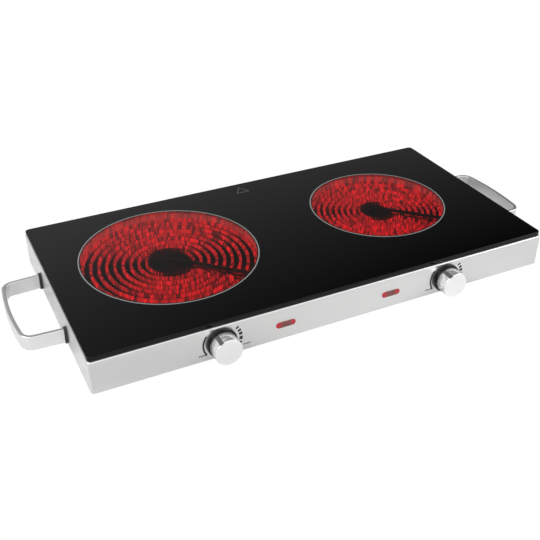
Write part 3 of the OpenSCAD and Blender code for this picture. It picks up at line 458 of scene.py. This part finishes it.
def slot_outline(length, width, steps=14):
    r = width / 2
    points = []
    for sign in (1, -1):
        for k in range(steps + 1):
            a = math.radians(-90 + 180 * k / steps) + (0 if sign == 1 else math.pi)
            points.append((sign * (length / 2 - r) + r * math.cos(a), r * math.sin(a)))
    return points


def stacked(levels):
    bm = bmesh.new()
    rings = [[bm.verts.new(p) for p in level] for level in levels]
    for a, b in zip(rings, rings[1:]):
        for k in range(len(a)):
            bm.faces.new((a[k], a[(k + 1) % len(a)], b[(k + 1) % len(b)], b[k]))
    bm.faces.new(rings[0])
    bm.faces.new(list(reversed(rings[-1])))
    return bm


# clear red at the ends and browner over the lamp's stem, with fine ribs moulded across
def ribbed_red(middle_x, name):
    m = finish(name, (0.270, 0.085, 0.080), (0.130, 0.045, 0.042), 0.22, scale=260,
               grain=(1.6, 1, 1), spread=0.1, specular=0.3)
    n, link = m.node_tree.nodes, m.node_tree.links.new
    tinted = n["Principled BSDF"].inputs["Base Color"].links[0].from_socket
    place, axis, away = (n.new("ShaderNodeTexCoord"), n.new("ShaderNodeSeparateXYZ"),
                         n.new("ShaderNodeMath"))
    away.operation = "SUBTRACT"
    away.inputs[1].default_value = middle_x
    far, ends = n.new("ShaderNodeMath"), n.new("ShaderNodeMapRange")
    far.operation = "ABSOLUTE"
    ends.interpolation_type = "SMOOTHSTEP"
    ends.inputs["From Min"].default_value = 0.0035
    ends.inputs["From Max"].default_value = 0.0085
    red = n.new("ShaderNodeMix")
    red.data_type = "RGBA"
    red.inputs["B"].default_value = (0.470, 0.032, 0.046, 1)
    link(place.outputs["Object"], axis.inputs[0])
    link(axis.outputs["X"], away.inputs[0])
    link(away.outputs[0], far.inputs[0])
    link(far.outputs[0], ends.inputs["Value"])
    link(ends.outputs["Result"], red.inputs["Factor"])
    link(tinted, red.inputs["A"])
    link(red.outputs["Result"], n["Principled BSDF"].inputs["Base Color"])
    ribs, bump = n.new("ShaderNodeTexWave"), n.new("ShaderNodeBump")
    ribs.inputs["Scale"].default_value = 190
    bump.inputs["Distance"].default_value = 0.00006
    link(place.outputs["Object"], ribs.inputs["Vector"])
    link(ribs.outputs["Fac"], bump.inputs["Height"])
    link(bump.outputs["Normal"], n["Principled BSDF"].inputs["Normal"])
    return m


front_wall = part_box("housing_shell")[0].y
for side in ("left", "right"):
    low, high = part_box(f"{side}_lamp_lens")
    x, z = (low.x + high.x) / 2, (low.z + high.z) / 2
    out = front_wall - low.y
    flange, flange_back, flange_face, core_step, core_end, dome = (
        0.0026, 0.0023, 0.0008, 0.003, 0.0058, 0.0005)
    length, width = high.x - low.x - flange, high.z - low.z - flange
    steps = [(length - core_step, width - core_step, core_end),
             (length - core_step, width - core_step, flange_back),
             (length + flange, width + flange, flange_back),
             (length + flange, width + flange, flange_face),
             (length, width, flange_face), (length, width, -out + dome)]
    for inset, rise in ((0.0001, 0.25), (0.0003, 0.5), (0.0008, 0.72), (0.0016, 0.88),
                        (0.0025, 1.0)):
        steps.append((length - 2 * inset, width - 2 * inset, -out + dome * (1 - rise)))
    levels = [[(x + u, front_wall + y, z + v) for u, v in slot_outline(l, w)]
              for l, w, y in steps]
    piece(f"{side}_lens", stacked(levels), ribbed_red(x, f"{side} red polycarbonate"),
          "housing", "lens", f"{side}_lamp_lens")

# ---------------------------------------------------------------- wiring
# Silicone sleeved leads: brown live feeds, red to the heaters, grey to the lamps and
# green for the earth. They are tied along the middle of the base.
dress(finish("brown sleeve", (0.16, 0.065, 0.030), (0.10, 0.040, 0.018), 0.5, scale=700),
      "supply_wires")
dress(finish("red sleeve", (0.38, 0.045, 0.040), (0.26, 0.030, 0.028), 0.5, scale=700),
      "heater_wires")
dress(finish("grey sleeve", (0.50, 0.50, 0.49), (0.38, 0.38, 0.37), 0.5, scale=700),
      "lamp_wires")
dress(finish("green sleeve", (0.15, 0.28, 0.05), (0.10, 0.19, 0.035), 0.5, scale=700),
      "earth_wire")

# ---------------------------------------------------------------- seal
# A black silicone bead squeezed between the glass and the top flange. It holds the plate
# and keeps spills out of the housing.
dress(finish("silicone bead", (0.020, 0.020, 0.021), (0.010, 0.010, 0.011), 0.6, scale=600,
             relief=5e-5, specular=0.25), "glass_seal")


# ---------------------------------------------------------------- glass
# A rolled plate of black glass-ceramic with ground and polished edges. It is printed
# opaque underneath except in the two zones, where the glow of the ribbons comes through.
def round_outline(w, d, r, steps=16):
    points = []
    for k, (sx, sy) in enumerate(((1, 1), (-1, 1), (-1, -1), (1, -1))):
        for j in range(steps + 1):
            a = math.pi / 2 * (k + j / steps)
            points.append((sx * (w / 2 - r) + r * math.cos(a),
                           sy * (d / 2 - r) + r * math.sin(a)))
    return points


zones = {}
for side in ("left", "right"):
    low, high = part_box(f"{side}_heater_rim")
    zones[side] = ((low.x + high.x) / 2, (low.y + high.y) / 2, (high.x - low.x) / 2 - rim_wall)

ceramic = bpy.data.materials.new("black glass-ceramic")
ceramic.use_nodes = True
tree = ceramic.node_tree
shader = tree.nodes["Principled BSDF"]
place = tree.nodes.new("ShaderNodeTexCoord")
g = tree.nodes.new("ShaderNodeGroup")
g.node_tree = surface
g.inputs["Light Tone"].default_value = (0.0014, 0.0015, 0.0016, 1)
g.inputs["Dark Tone"].default_value = (0.0008, 0.0009, 0.0010, 1)
g.inputs["Grain"].default_value = (1, 1, 1)
g.inputs["Scale"].default_value = 90
g.inputs["Roughness"].default_value = 0.075
g.inputs["Spread"].default_value = 0.05
tree.links.new(g.outputs["Color"], shader.inputs["Base Color"])
tree.links.new(g.outputs["Roughness"], shader.inputs["Roughness"])
windows = []
window_inset, window_blur, wider_by_depth = 0.0024, 0.0010, 2.2
low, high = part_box("glass_top")
height = tree.nodes.new("ShaderNodeSeparateXYZ")
depth, wider = tree.nodes.new("ShaderNodeMath"), tree.nodes.new("ShaderNodeMath")
depth.operation, wider.operation = "SUBTRACT", "MULTIPLY"
depth.inputs[0].default_value = high.z
wider.inputs[1].default_value = wider_by_depth
tree.links.new(place.outputs["Object"], height.inputs[0])
tree.links.new(height.outputs["Z"], depth.inputs[1])
tree.links.new(depth.outputs[0], wider.inputs[0])
for x, y, r in zones.values():
    flat = tree.nodes.new("ShaderNodeVectorMath")
    flat.operation = "MULTIPLY"
    flat.inputs[1].default_value = (1, 1, 0)
    away = tree.nodes.new("ShaderNodeVectorMath")
    away.operation = "DISTANCE"
    away.inputs[1].default_value = (x, y, 0)
    edge = tree.nodes.new("ShaderNodeMapRange")
    edge.interpolation_type = "SMOOTHSTEP"
    edge.inputs["From Min"].default_value = r - window_inset
    edge.inputs["From Max"].default_value = r - window_inset + window_blur
    edge.inputs["To Min"].default_value = 1
    edge.inputs["To Max"].default_value = 0
    tree.links.new(place.outputs["Object"], flat.inputs[0])
    tree.links.new(flat.outputs[0], away.inputs[0])
    drawn_in = tree.nodes.new("ShaderNodeMath")
    drawn_in.operation = "SUBTRACT"
    tree.links.new(away.outputs["Value"], drawn_in.inputs[0])
    tree.links.new(wider.outputs[0], drawn_in.inputs[1])
    tree.links.new(drawn_in.outputs[0], edge.inputs["Value"])
    windows.append(edge)
window = tree.nodes.new("ShaderNodeMath")
window.operation = "ADD"
clear = tree.nodes.new("ShaderNodeMapRange")
clear.inputs["From Min"].default_value = low.z + 0.001
clear.inputs["From Max"].default_value = high.z - 0.001
clear.inputs["To Min"].default_value = 1
clear.inputs["To Max"].default_value = 0.2
through, alpha = tree.nodes.new("ShaderNodeMath"), tree.nodes.new("ShaderNodeMath")
through.operation, alpha.operation = "MULTIPLY", "SUBTRACT"
alpha.inputs[0].default_value = 1
tree.links.new(windows[0].outputs["Result"], window.inputs[0])
tree.links.new(windows[1].outputs["Result"], window.inputs[1])
tree.links.new(height.outputs["Z"], clear.inputs["Value"])
tree.links.new(window.outputs[0], through.inputs[0])
tree.links.new(clear.outputs["Result"], through.inputs[1])
tree.links.new(through.outputs[0], alpha.inputs[1])
tree.links.new(alpha.outputs[0], shader.inputs["Alpha"])
shader.inputs["Specular IOR Level"].default_value = 0.24
print_h = 0.00004
glass_middle = (low + high) / 2
corner = 0.005
levels = []
for inset, z in ((0.0003, low.z), (0, low.z + 0.0003), (0, high.z - 0.0007),
                 (0.0001, high.z - 0.00035), (0.0003, high.z - 0.00015),
                 (0.0006, high.z - print_h)):
    outline = round_outline(high.x - low.x - 2 * inset, high.y - low.y - 2 * inset,
                            corner - inset)
    levels.append([(glass_middle.x + u, glass_middle.y + v, z) for u, v in outline])
piece("glass_plate", stacked(levels), ceramic, "housing", "glass", "glass_top")


# ---------------------------------------------------------------- printed glass
# Fired ceramic ink: a fine grey ring round each zone and a plain triangle outline behind
# them. The ink lies on the plate and is too thin to feel.
ring_half, ink_h = 0.0007, 0.00006
ink = finish("fired grey ink", (0.250, 0.265, 0.258), (0.190, 0.203, 0.196), 0.35, scale=500,
             spread=0.1)
for side, (x, y, r) in zones.items():
    turns = [2 * math.pi * k / 180 for k in range(180)]
    bm = bmesh.new()
    section = ((r - ring_half, high.z - ink_h), (r + ring_half, high.z - ink_h),
               (r + ring_half, high.z), (r - ring_half, high.z))
    rings = [[bm.verts.new((x + q * math.cos(t), y + q * math.sin(t), z)) for t in turns]
             for q, z in section]
    for a, b in zip(rings, rings[1:] + rings[:1]):
        for k in range(len(turns)):
            bm.faces.new((a[k], a[k - 1], b[k - 1], b[k]))
    piece(f"{side}_zone_ring", bm, ink, "housing", "glass")

bm = bmesh.new()
tri_x, tri_y = glass_middle.x, glass_middle.y + 0.1145
tri_outer, tri_inner = 0.0100, 0.0083
rings = []
for size, z in ((tri_outer, high.z), (tri_inner, high.z), (tri_inner, high.z - ink_h),
                (tri_outer, high.z - ink_h)):
    rings.append([bm.verts.new((tri_x + size * math.cos(math.radians(a)),
                                tri_y + size * math.sin(math.radians(a)), z))
                  for a in (90, 210, 330)])
for a, b in zip(rings, rings[1:] + rings[:1]):
    for k in range(3):
        bm.faces.new((a[k], a[k - 1], b[k - 1], b[k]))
faint_ink = finish("faint grey ink", (0.125, 0.128, 0.128), (0.090, 0.093, 0.093), 0.4,
                   scale=500, specular=0.25)
piece("glass_triangle", bm, faint_ink, "housing", "glass")


# ---------------------------------------------------------------- handles
# Flat stainless bar bent into a shallow bow at either end, its long edges broken by
# grinding and the faces satin polished along the bar.
def bar_points(reach, half_span, bow, corner_r, lean, t, start):
    cx = reach - bow - corner_r
    r = corner_r - t / 2
    cy = half_span - r * math.cos(lean) - (cx + r * math.sin(lean)) * math.tan(lean)
    span_r = ((bow + corner_r) ** 2 + cy ** 2 - corner_r ** 2) / (2 * bow)
    turn = math.asin(cy / (span_r - corner_r))
    side_point = (cx + r * math.sin(lean), cy + r * math.cos(lean))
    leg = [(start + (side_point[0] - start) * k / 6) for k in range(6)]
    half = [(u, side_point[1] + (side_point[0] - u) * math.tan(lean)) for u in leg]
    for k in range(21):
        a = math.pi / 2 - lean + (turn - math.pi / 2 + lean) * k / 20
        half.append((cx + r * math.cos(a), cy + r * math.sin(a)))
    for k in range(1, 25):
        a = turn * (1 - k / 24)
        half.append((reach - span_r + (span_r - t / 2) * math.cos(a),
                     (span_r - t / 2) * math.sin(a)))
    return half + [(u, -v) for u, v in reversed(half[:-1])]


bar_finish = finish("satin bar", (0.87, 0.87, 0.865), (0.80, 0.80, 0.795), 0.33, scale=8,
                    grain=(1, 1, 160), metallic=1, spread=0.06, relief=4e-6)
for side, sign in (("left", -1), ("right", 1)):
    low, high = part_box(f"{side}_handle")
    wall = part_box("housing_shell")[1].x
    t, edge, span, bow, corner_r, lean = 0.0042, 0.0009, 0.1117, 0.0028, 0.014, math.radians(2.6)
    tall = high.z - low.z
    reach = high.x - wall if sign == 1 else -low.x - wall
    start = low.x - wall if sign == 1 else -high.x - wall
    path = bar_points(reach, span / 2, bow, corner_r, lean, t, start)
    section = []
    for k in range(4):
        for j in range(6):
            a = math.pi / 2 * (k + j / 5)
            su, sv = ((1, 1), (-1, 1), (-1, -1), (1, -1))[k]
            section.append((su * (t / 2 - edge) + edge * math.cos(a),
                            sv * (tall / 2 - edge) + edge * math.sin(a)))
    bm = bmesh.new()
    rings = []
    for i, p in enumerate(path):
        a, b = Vector(path[max(i - 1, 0)]), Vector(path[min(i + 1, len(path) - 1)])
        if i in (0, len(path) - 1):
            along = (Vector(path[1]) - Vector(path[0])) if i == 0 else b - a
            out = Vector((0, 1 if i == 0 else -1))
        else:
            along = (b - a).normalized()
            out = Vector((-along.y, along.x))
        rings.append([bm.verts.new((sign * (wall + p[0] + out.x * u),
                                    (low.y + high.y) / 2 + p[1] + out.y * u,
                                    (low.z + high.z) / 2 + v)) for u, v in section])
    for a, b in zip(rings, rings[1:]):
        for k in range(len(section)):
            bm.faces.new((a[k], a[k - 1], b[k - 1], b[k]))
    bm.faces.new(rings[0])
    bm.faces.new(rings[-1])
    piece(f"{side}_grip", bm, bar_finish, "housing", "handle", f"{side}_handle", smooth=50)

dress(finish("black spacer", (0.020, 0.020, 0.021), (0.011, 0.011, 0.012), 0.4, scale=500,
             relief=2e-5), *both("handle_spacers"))


# ---------------------------------------------------------------- knobs
# A moulded black skirt carries a drawn and satin polished metal cap. A grey inlay lies in
# a slot milled along the cap's side and shows the setting.
def turned(profile, centre, at=0.0, half=None, floor=None, columns=96):
    plain = [(2 * math.pi * k / columns, False) for k in range(columns)]
    if half:
        span = 2 * math.pi - 2 * half
        plain = [(half + span * k / columns, False) for k in range(columns + 1)]
        plain += [(-half + 2 * half * k / 6, True) for k in range(7)]
    bm = bmesh.new()
    rings = []
    for r, out in profile:
        if r == 0:
            rings.append([bm.verts.new((centre.x, centre.y - out, centre.z))])
            continue
        ring = []
        for a, cut in plain:
            u, v = r * math.cos(a), r * math.sin(a)
            if cut:
                u = min(u, floor)
            ring.append(bm.verts.new((centre.x + u * math.cos(at) - v * math.sin(at),
                                      centre.y - out,
                                      centre.z + u * math.sin(at) + v * math.cos(at))))
        rings.append(ring)
    count = len(plain)
    for a, b in zip(rings, rings[1:]):
        for k in range(count):
            if len(a) == 1:
                bm.faces.new((a[0], b[k], b[k - 1]))
            elif len(b) == 1:
                bm.faces.new((a[k], b[0], a[k - 1]))
            else:
                bm.faces.new((a[k], b[k], b[k - 1], a[k - 1]))
    bmesh.ops.dissolve_degenerate(bm, dist=1e-8, edges=bm.edges)
    return bm


def corner_arc(r, out, size, first, last, steps=5):
    return [(r + size * math.cos(math.radians(first + (last - first) * k / steps)),
             out + size * math.sin(math.radians(first + (last - first) * k / steps)))
            for k in range(steps + 1)]


cap_metal = finish("satin cap", (1.0, 1.0, 0.995), (0.95, 0.95, 0.945), 0.24, scale=520,
                   metallic=0.8, spread=0.04, relief=1e-6)
inlay = finish("grey inlay", (0.100, 0.102, 0.105), (0.072, 0.074, 0.077), 0.4, scale=500)
skirt_black = finish("black skirt", (0.010, 0.010, 0.011), (0.005, 0.005, 0.006), 0.14,
                     scale=500, spread=0.06, specular=0.24)
pointer_at = math.radians(120)
for side in ("left", "right"):
    low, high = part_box(f"{side}_knob_cap")
    skirt_low, skirt_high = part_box(f"{side}_knob_skirt")
    R = (high.x - low.x) / 2
    L = high.y - low.y
    hub = Vector(((low.x + high.x) / 2, high.y, (low.z + high.z) / 2))
    half_w, depth, cap_edge, cap_wall, cap_roof = 0.0023, 0.0007, 0.0006, 0.0014, 0.0012
    profile = [(0, L), (0.005, L), (0.0095, L), (0.0125, L)]
    profile += corner_arc(R - cap_edge, L - cap_edge, cap_edge, 90, 0)
    profile += [(R, 0.0003), (R - 0.0002, 0), (R - cap_wall, 0), (R - cap_wall, L - cap_roof),
                (0, L - cap_roof)]
    piece(f"{side}_cap", turned(profile, hub, pointer_at, math.asin(half_w / R), R - depth),
          cap_metal, f"{side}_knob", "cap", f"{side}_knob_cap")

    bm = bmesh.new()
    ends = []
    for out in (0.0, 0.0002, L - 0.0004, L - 0.00015):
        shy = 0.0002 if out in (0.0, L - 0.00015) else 0.00005
        w = half_w - shy
        flat = [(R - depth, -w)]
        flat += [(math.sqrt((R - 0.00015 - (shy - 0.00005)) ** 2 - v * v), v)
                 for v in [w * (k / 4 - 1) for k in range(9)]]
        flat += [(R - depth, w)]
        ends.append([bm.verts.new((
            hub.x + u * math.cos(pointer_at) - v * math.sin(pointer_at), hub.y - out,
            hub.z + u * math.sin(pointer_at) + v * math.cos(pointer_at))) for u, v in flat])
    for a, b in zip(ends, ends[1:]):
        for k in range(len(a)):
            bm.faces.new((a[k], a[k - 1], b[k - 1], b[k]))
    bm.faces.new(ends[0])
    bm.faces.new(ends[-1])
    piece(f"{side}_pointer", bm, inlay, f"{side}_knob", "pointer", f"{side}_knob_pointer",
          smooth=30)

    S = (skirt_high.x - skirt_low.x) / 2
    back = hub.y - skirt_high.y
    inner = R - cap_wall - 0.00005
    boss_r, boss_out, well_r, well = 0.006, 0.012, 0.011, 0.0032
    profile = [(0, boss_out), (boss_r - 0.0005, boss_out), (boss_r, boss_out - 0.0005), (boss_r, 0),
               (inner - 0.002, 0), (inner - 0.002, L - 0.0014), (inner, L - 0.0014),
               (inner, 0), (R + 0.0002, 0)]
    profile += corner_arc(R + 0.0002, -0.0004, 0.0004, 90, 35, 3)
    middle_r, middle_out = (R + S) / 2, (back + 0.0016) / 2 + 0.0001
    profile += [(middle_r - 0.0007, middle_out + 0.0002), (middle_r - 0.0005, middle_out - 0.0003),
                (middle_r + 0.0005, middle_out - 0.0006), (middle_r + 0.0007, middle_out - 0.0002)]
    profile += corner_arc(S - 0.0004, back + 0.0016, 0.0004, 55, 0, 4)
    profile += [(S, back + 0.0004), (S - 0.0003, back), (well_r + 0.0002, back),
                (well_r, back + 0.0002), (well_r, back + well), (0, back + well)]
    piece(f"{side}_skirt", turned(profile, hub), skirt_black, f"{side}_knob", "skirt",
          f"{side}_knob_skirt")

# ---------------------------------------------------------------- printed dials
# Pad-printed setting marks on the front wall: an arc on one side of each knob, a fan of
# growing ticks on the other, and short dashes where the captions would stand.
black_ink = finish("black pad print", (0.020, 0.020, 0.020), (0.008, 0.008, 0.008), 0.5,
                   scale=700)


def print_patch(bm, outline, ink_out=0.00004, ink_in=0.00002):
    front = [bm.verts.new((x, front_wall - ink_out, z)) for x, z in outline]
    rear = [bm.verts.new((x, front_wall + ink_in, z)) for x, z in outline]
    bm.faces.new(front)
    bm.faces.new(list(reversed(rear)))
    for k in range(len(outline)):
        bm.faces.new((front[k], front[k - 1], rear[k - 1], rear[k]))


def sector(centre, r0, r1, a0, a1, steps):
    turns = [math.radians(a0 + (a1 - a0) * k / steps) for k in range(steps + 1)]
    return ([(centre.x + r1 * math.cos(a), centre.z + r1 * math.sin(a)) for a in turns]
            + [(centre.x + r0 * math.cos(a), centre.z + r0 * math.sin(a))
               for a in reversed(turns)])


for side in ("left", "right"):
    low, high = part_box(f"{side}_knob_cap")
    hub = (low + high) / 2
    bm = bmesh.new()
    arc_in, arc_out, tick_in, tick_middle, tick_out = 0.0187, 0.0207, 0.0194, 0.0212, 0.0231
    print_patch(bm, sector(hub, arc_in, arc_out, 143, 215, 24))
    for angle, tall in ((35, 0.0021), (23, 0.0026), (11, 0.0034), (-4, 0.0041), (-18, 0.0029)):
        wide = math.degrees(tall / 2 / tick_middle)
        print_patch(bm, sector(hub, tick_in, tick_out, angle - wide, angle + wide, 4))
    dash, dash_pitch, dash_low, dash_high = 0.0014, 0.0020, hub.z - 0.0114, hub.z - 0.0100
    for start in (-0.0250, 0.0240):
        for k in range(4):
            x = hub.x + start + dash_pitch * k
            print_patch(bm, [(x, dash_low), (x + dash, dash_low), (x + dash, dash_high),
                             (x, dash_high)])
    piece(f"{side}_dial_print", bm, black_ink, "housing", "housing")

# ---------------------------------------------------------------- floor, light and camera
# A white sweep, one big soft light from the left, a weaker one from the front right and
# a brighter ceiling in front. The wall behind is dim, which is what the glass mirrors.
bm = bmesh.new()
bm.faces.new([bm.verts.new((x, y, 0)) for x, y in ((-6, -6), (6, -6), (6, 6), (-6, 6))])
mesh = bpy.data.meshes.new("floor")
bm.to_mesh(mesh)
bm.free()
floor = bpy.data.objects.new("floor", mesh)
bpy.context.scene.collection.objects.link(floor)
paper = bpy.data.materials.new("white paper")
paper.use_nodes = True
n, link = paper.node_tree.nodes, paper.node_tree.links.new
shader = n["Principled BSDF"]
shader.inputs["Roughness"].default_value = 1
shader.inputs["Specular IOR Level"].default_value = 0
# painted shade: the floor is painted greyer in a strip in front of the housing, most toward the
# left, which the steel walls and caps mirror; to the camera the floor shows plain white
place, split = n.new("ShaderNodeTexCoord"), n.new("ShaderNodeSeparateXYZ")
painted_floor_shade, tone = n.new("ShaderNodeMath"), n.new("ShaderNodeMapRange")
painted_floor_shade.operation = "MULTIPLY"
tone.inputs["To Min"].default_value, tone.inputs["To Max"].default_value = 0.74, 0.55
link(place.outputs["Object"], split.inputs[0])
band = n.new("ShaderNodeMath")
band.operation = "MULTIPLY"
for axis, near, far, goes_to in (("X", 0.12, -0.24, band.inputs[0]),
                                 ("Y", -0.11, -0.15, band.inputs[1]),
                                 ("Y", -0.22, -0.17, painted_floor_shade.inputs[0])):
    fall = n.new("ShaderNodeMapRange")
    fall.interpolation_type = "SMOOTHSTEP"
    fall.inputs["From Min"].default_value, fall.inputs["From Max"].default_value = near, far
    link(split.outputs[axis], fall.inputs["Value"])
    link(fall.outputs["Result"], goes_to)
link(band.outputs[0], painted_floor_shade.inputs[1])
link(painted_floor_shade.outputs[0], tone.inputs["Value"])
link(tone.outputs["Result"], shader.inputs["Base Color"])
ray = n.new("ShaderNodeLightPath")
lit = n.new("ShaderNodeEmission")
lit.inputs["Strength"].default_value = 1.02
blend = n.new("ShaderNodeMixShader")
link(ray.outputs["Is Camera Ray"], blend.inputs["Fac"])
link(shader.outputs[0], blend.inputs[1])
link(lit.outputs[0], blend.inputs[2])
under, clear, sheet = (n.new("ShaderNodeNewGeometry"), n.new("ShaderNodeBsdfTransparent"),
                       n.new("ShaderNodeMixShader"))
link(under.outputs["Backfacing"], sheet.inputs["Fac"])
link(blend.outputs[0], sheet.inputs[1])
link(clear.outputs[0], sheet.inputs[2])
link(sheet.outputs[0], n["Material Output"].inputs["Surface"])
mesh.materials.append(paper)

world = bpy.data.worlds.new("studio")
world.use_nodes = True
bpy.context.scene.world = world
n, link = world.node_tree.nodes, world.node_tree.links.new
n.clear()
direction = n.new("ShaderNodeTexCoord")
axes = n.new("ShaderNodeSeparateXYZ")
link(direction.outputs["Generated"], axes.inputs[0])
across, climb = n.new("ShaderNodeMath"), n.new("ShaderNodeMath")
across.operation = climb.operation = "MULTIPLY_ADD"
across.inputs[1].default_value, across.inputs[2].default_value = -1.04, 1.61
climb.inputs[1].default_value = -1.96
link(axes.outputs["X"], across.inputs[0])
link(axes.outputs["Z"], climb.inputs[0])
link(across.outputs[0], climb.inputs[2])
dim = n.new("ShaderNodeClamp")
dim.inputs["Min"].default_value = 0.0
dim.inputs["Max"].default_value = 0.50
link(climb.outputs[0], dim.inputs["Value"])
rearward = n.new("ShaderNodeMapRange")
rearward.interpolation_type = "SMOOTHSTEP"
rearward.inputs["From Min"].default_value = 0.0
rearward.inputs["From Max"].default_value = 0.4
link(axes.outputs["Y"], rearward.inputs["Value"])
room = n.new("ShaderNodeMix")
overhead = n.new("ShaderNodeMapRange")
overhead.interpolation_type = "SMOOTHSTEP"
overhead.inputs["From Min"].default_value = 0.35
overhead.inputs["From Max"].default_value = 0.70
overhead.inputs["To Min"].default_value = 0.70
overhead.inputs["To Max"].default_value = 1.22
link(axes.outputs["Z"], overhead.inputs["Value"])
link(overhead.outputs["Result"], room.inputs["A"])
link(rearward.outputs["Result"], room.inputs["Factor"])
link(dim.outputs[0], room.inputs["B"])
back = n.new("ShaderNodeBackground")
link(room.outputs["Result"], back.inputs["Color"])
white = n.new("ShaderNodeBackground")
white.inputs["Color"].default_value = (1, 1, 1, 1)
white.inputs["Strength"].default_value = 1.02
ray = n.new("ShaderNodeLightPath")
blend = n.new("ShaderNodeMixShader")
link(ray.outputs["Is Camera Ray"], blend.inputs["Fac"])
link(back.outputs[0], blend.inputs[1])
link(white.outputs[0], blend.inputs[2])
put = n.new("ShaderNodeOutputWorld")
link(blend.outputs[0], put.inputs["Surface"])

for name, spot, size, power in (("key", (-1.7, -0.1, 1.3), 1.4, 24),
                                ("fill", (1.7, -0.8, 1.1), 1.2, 11)):
    lamp = bpy.data.lights.new(name, "AREA")
    lamp.size = size
    lamp.energy = power
    o = bpy.data.objects.new(name, lamp)
    o.location = spot
    o.rotation_euler = (-Vector(spot)).to_track_quat("-Z", "Y").to_euler()
    bpy.context.scene.collection.objects.link(o)

lens = bpy.data.cameras.new("camera")
lens.sensor_width = 36
lens.lens = 55.11
lens.clip_start = 0.01
camera = bpy.data.objects.new("camera", lens)
target = Vector((-0.0506, glass_middle.y - 0.0709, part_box("glass_top")[1].z))
camera.location = target + Vector((-0.33125, -0.67715, 0.478))
camera.rotation_euler = (target - camera.location).to_track_quat("-Z", "Y").to_euler()
bpy.context.scene.collection.objects.link(camera)
bpy.context.scene.camera = camera
bpy.context.scene.view_settings.view_transform = "Standard"
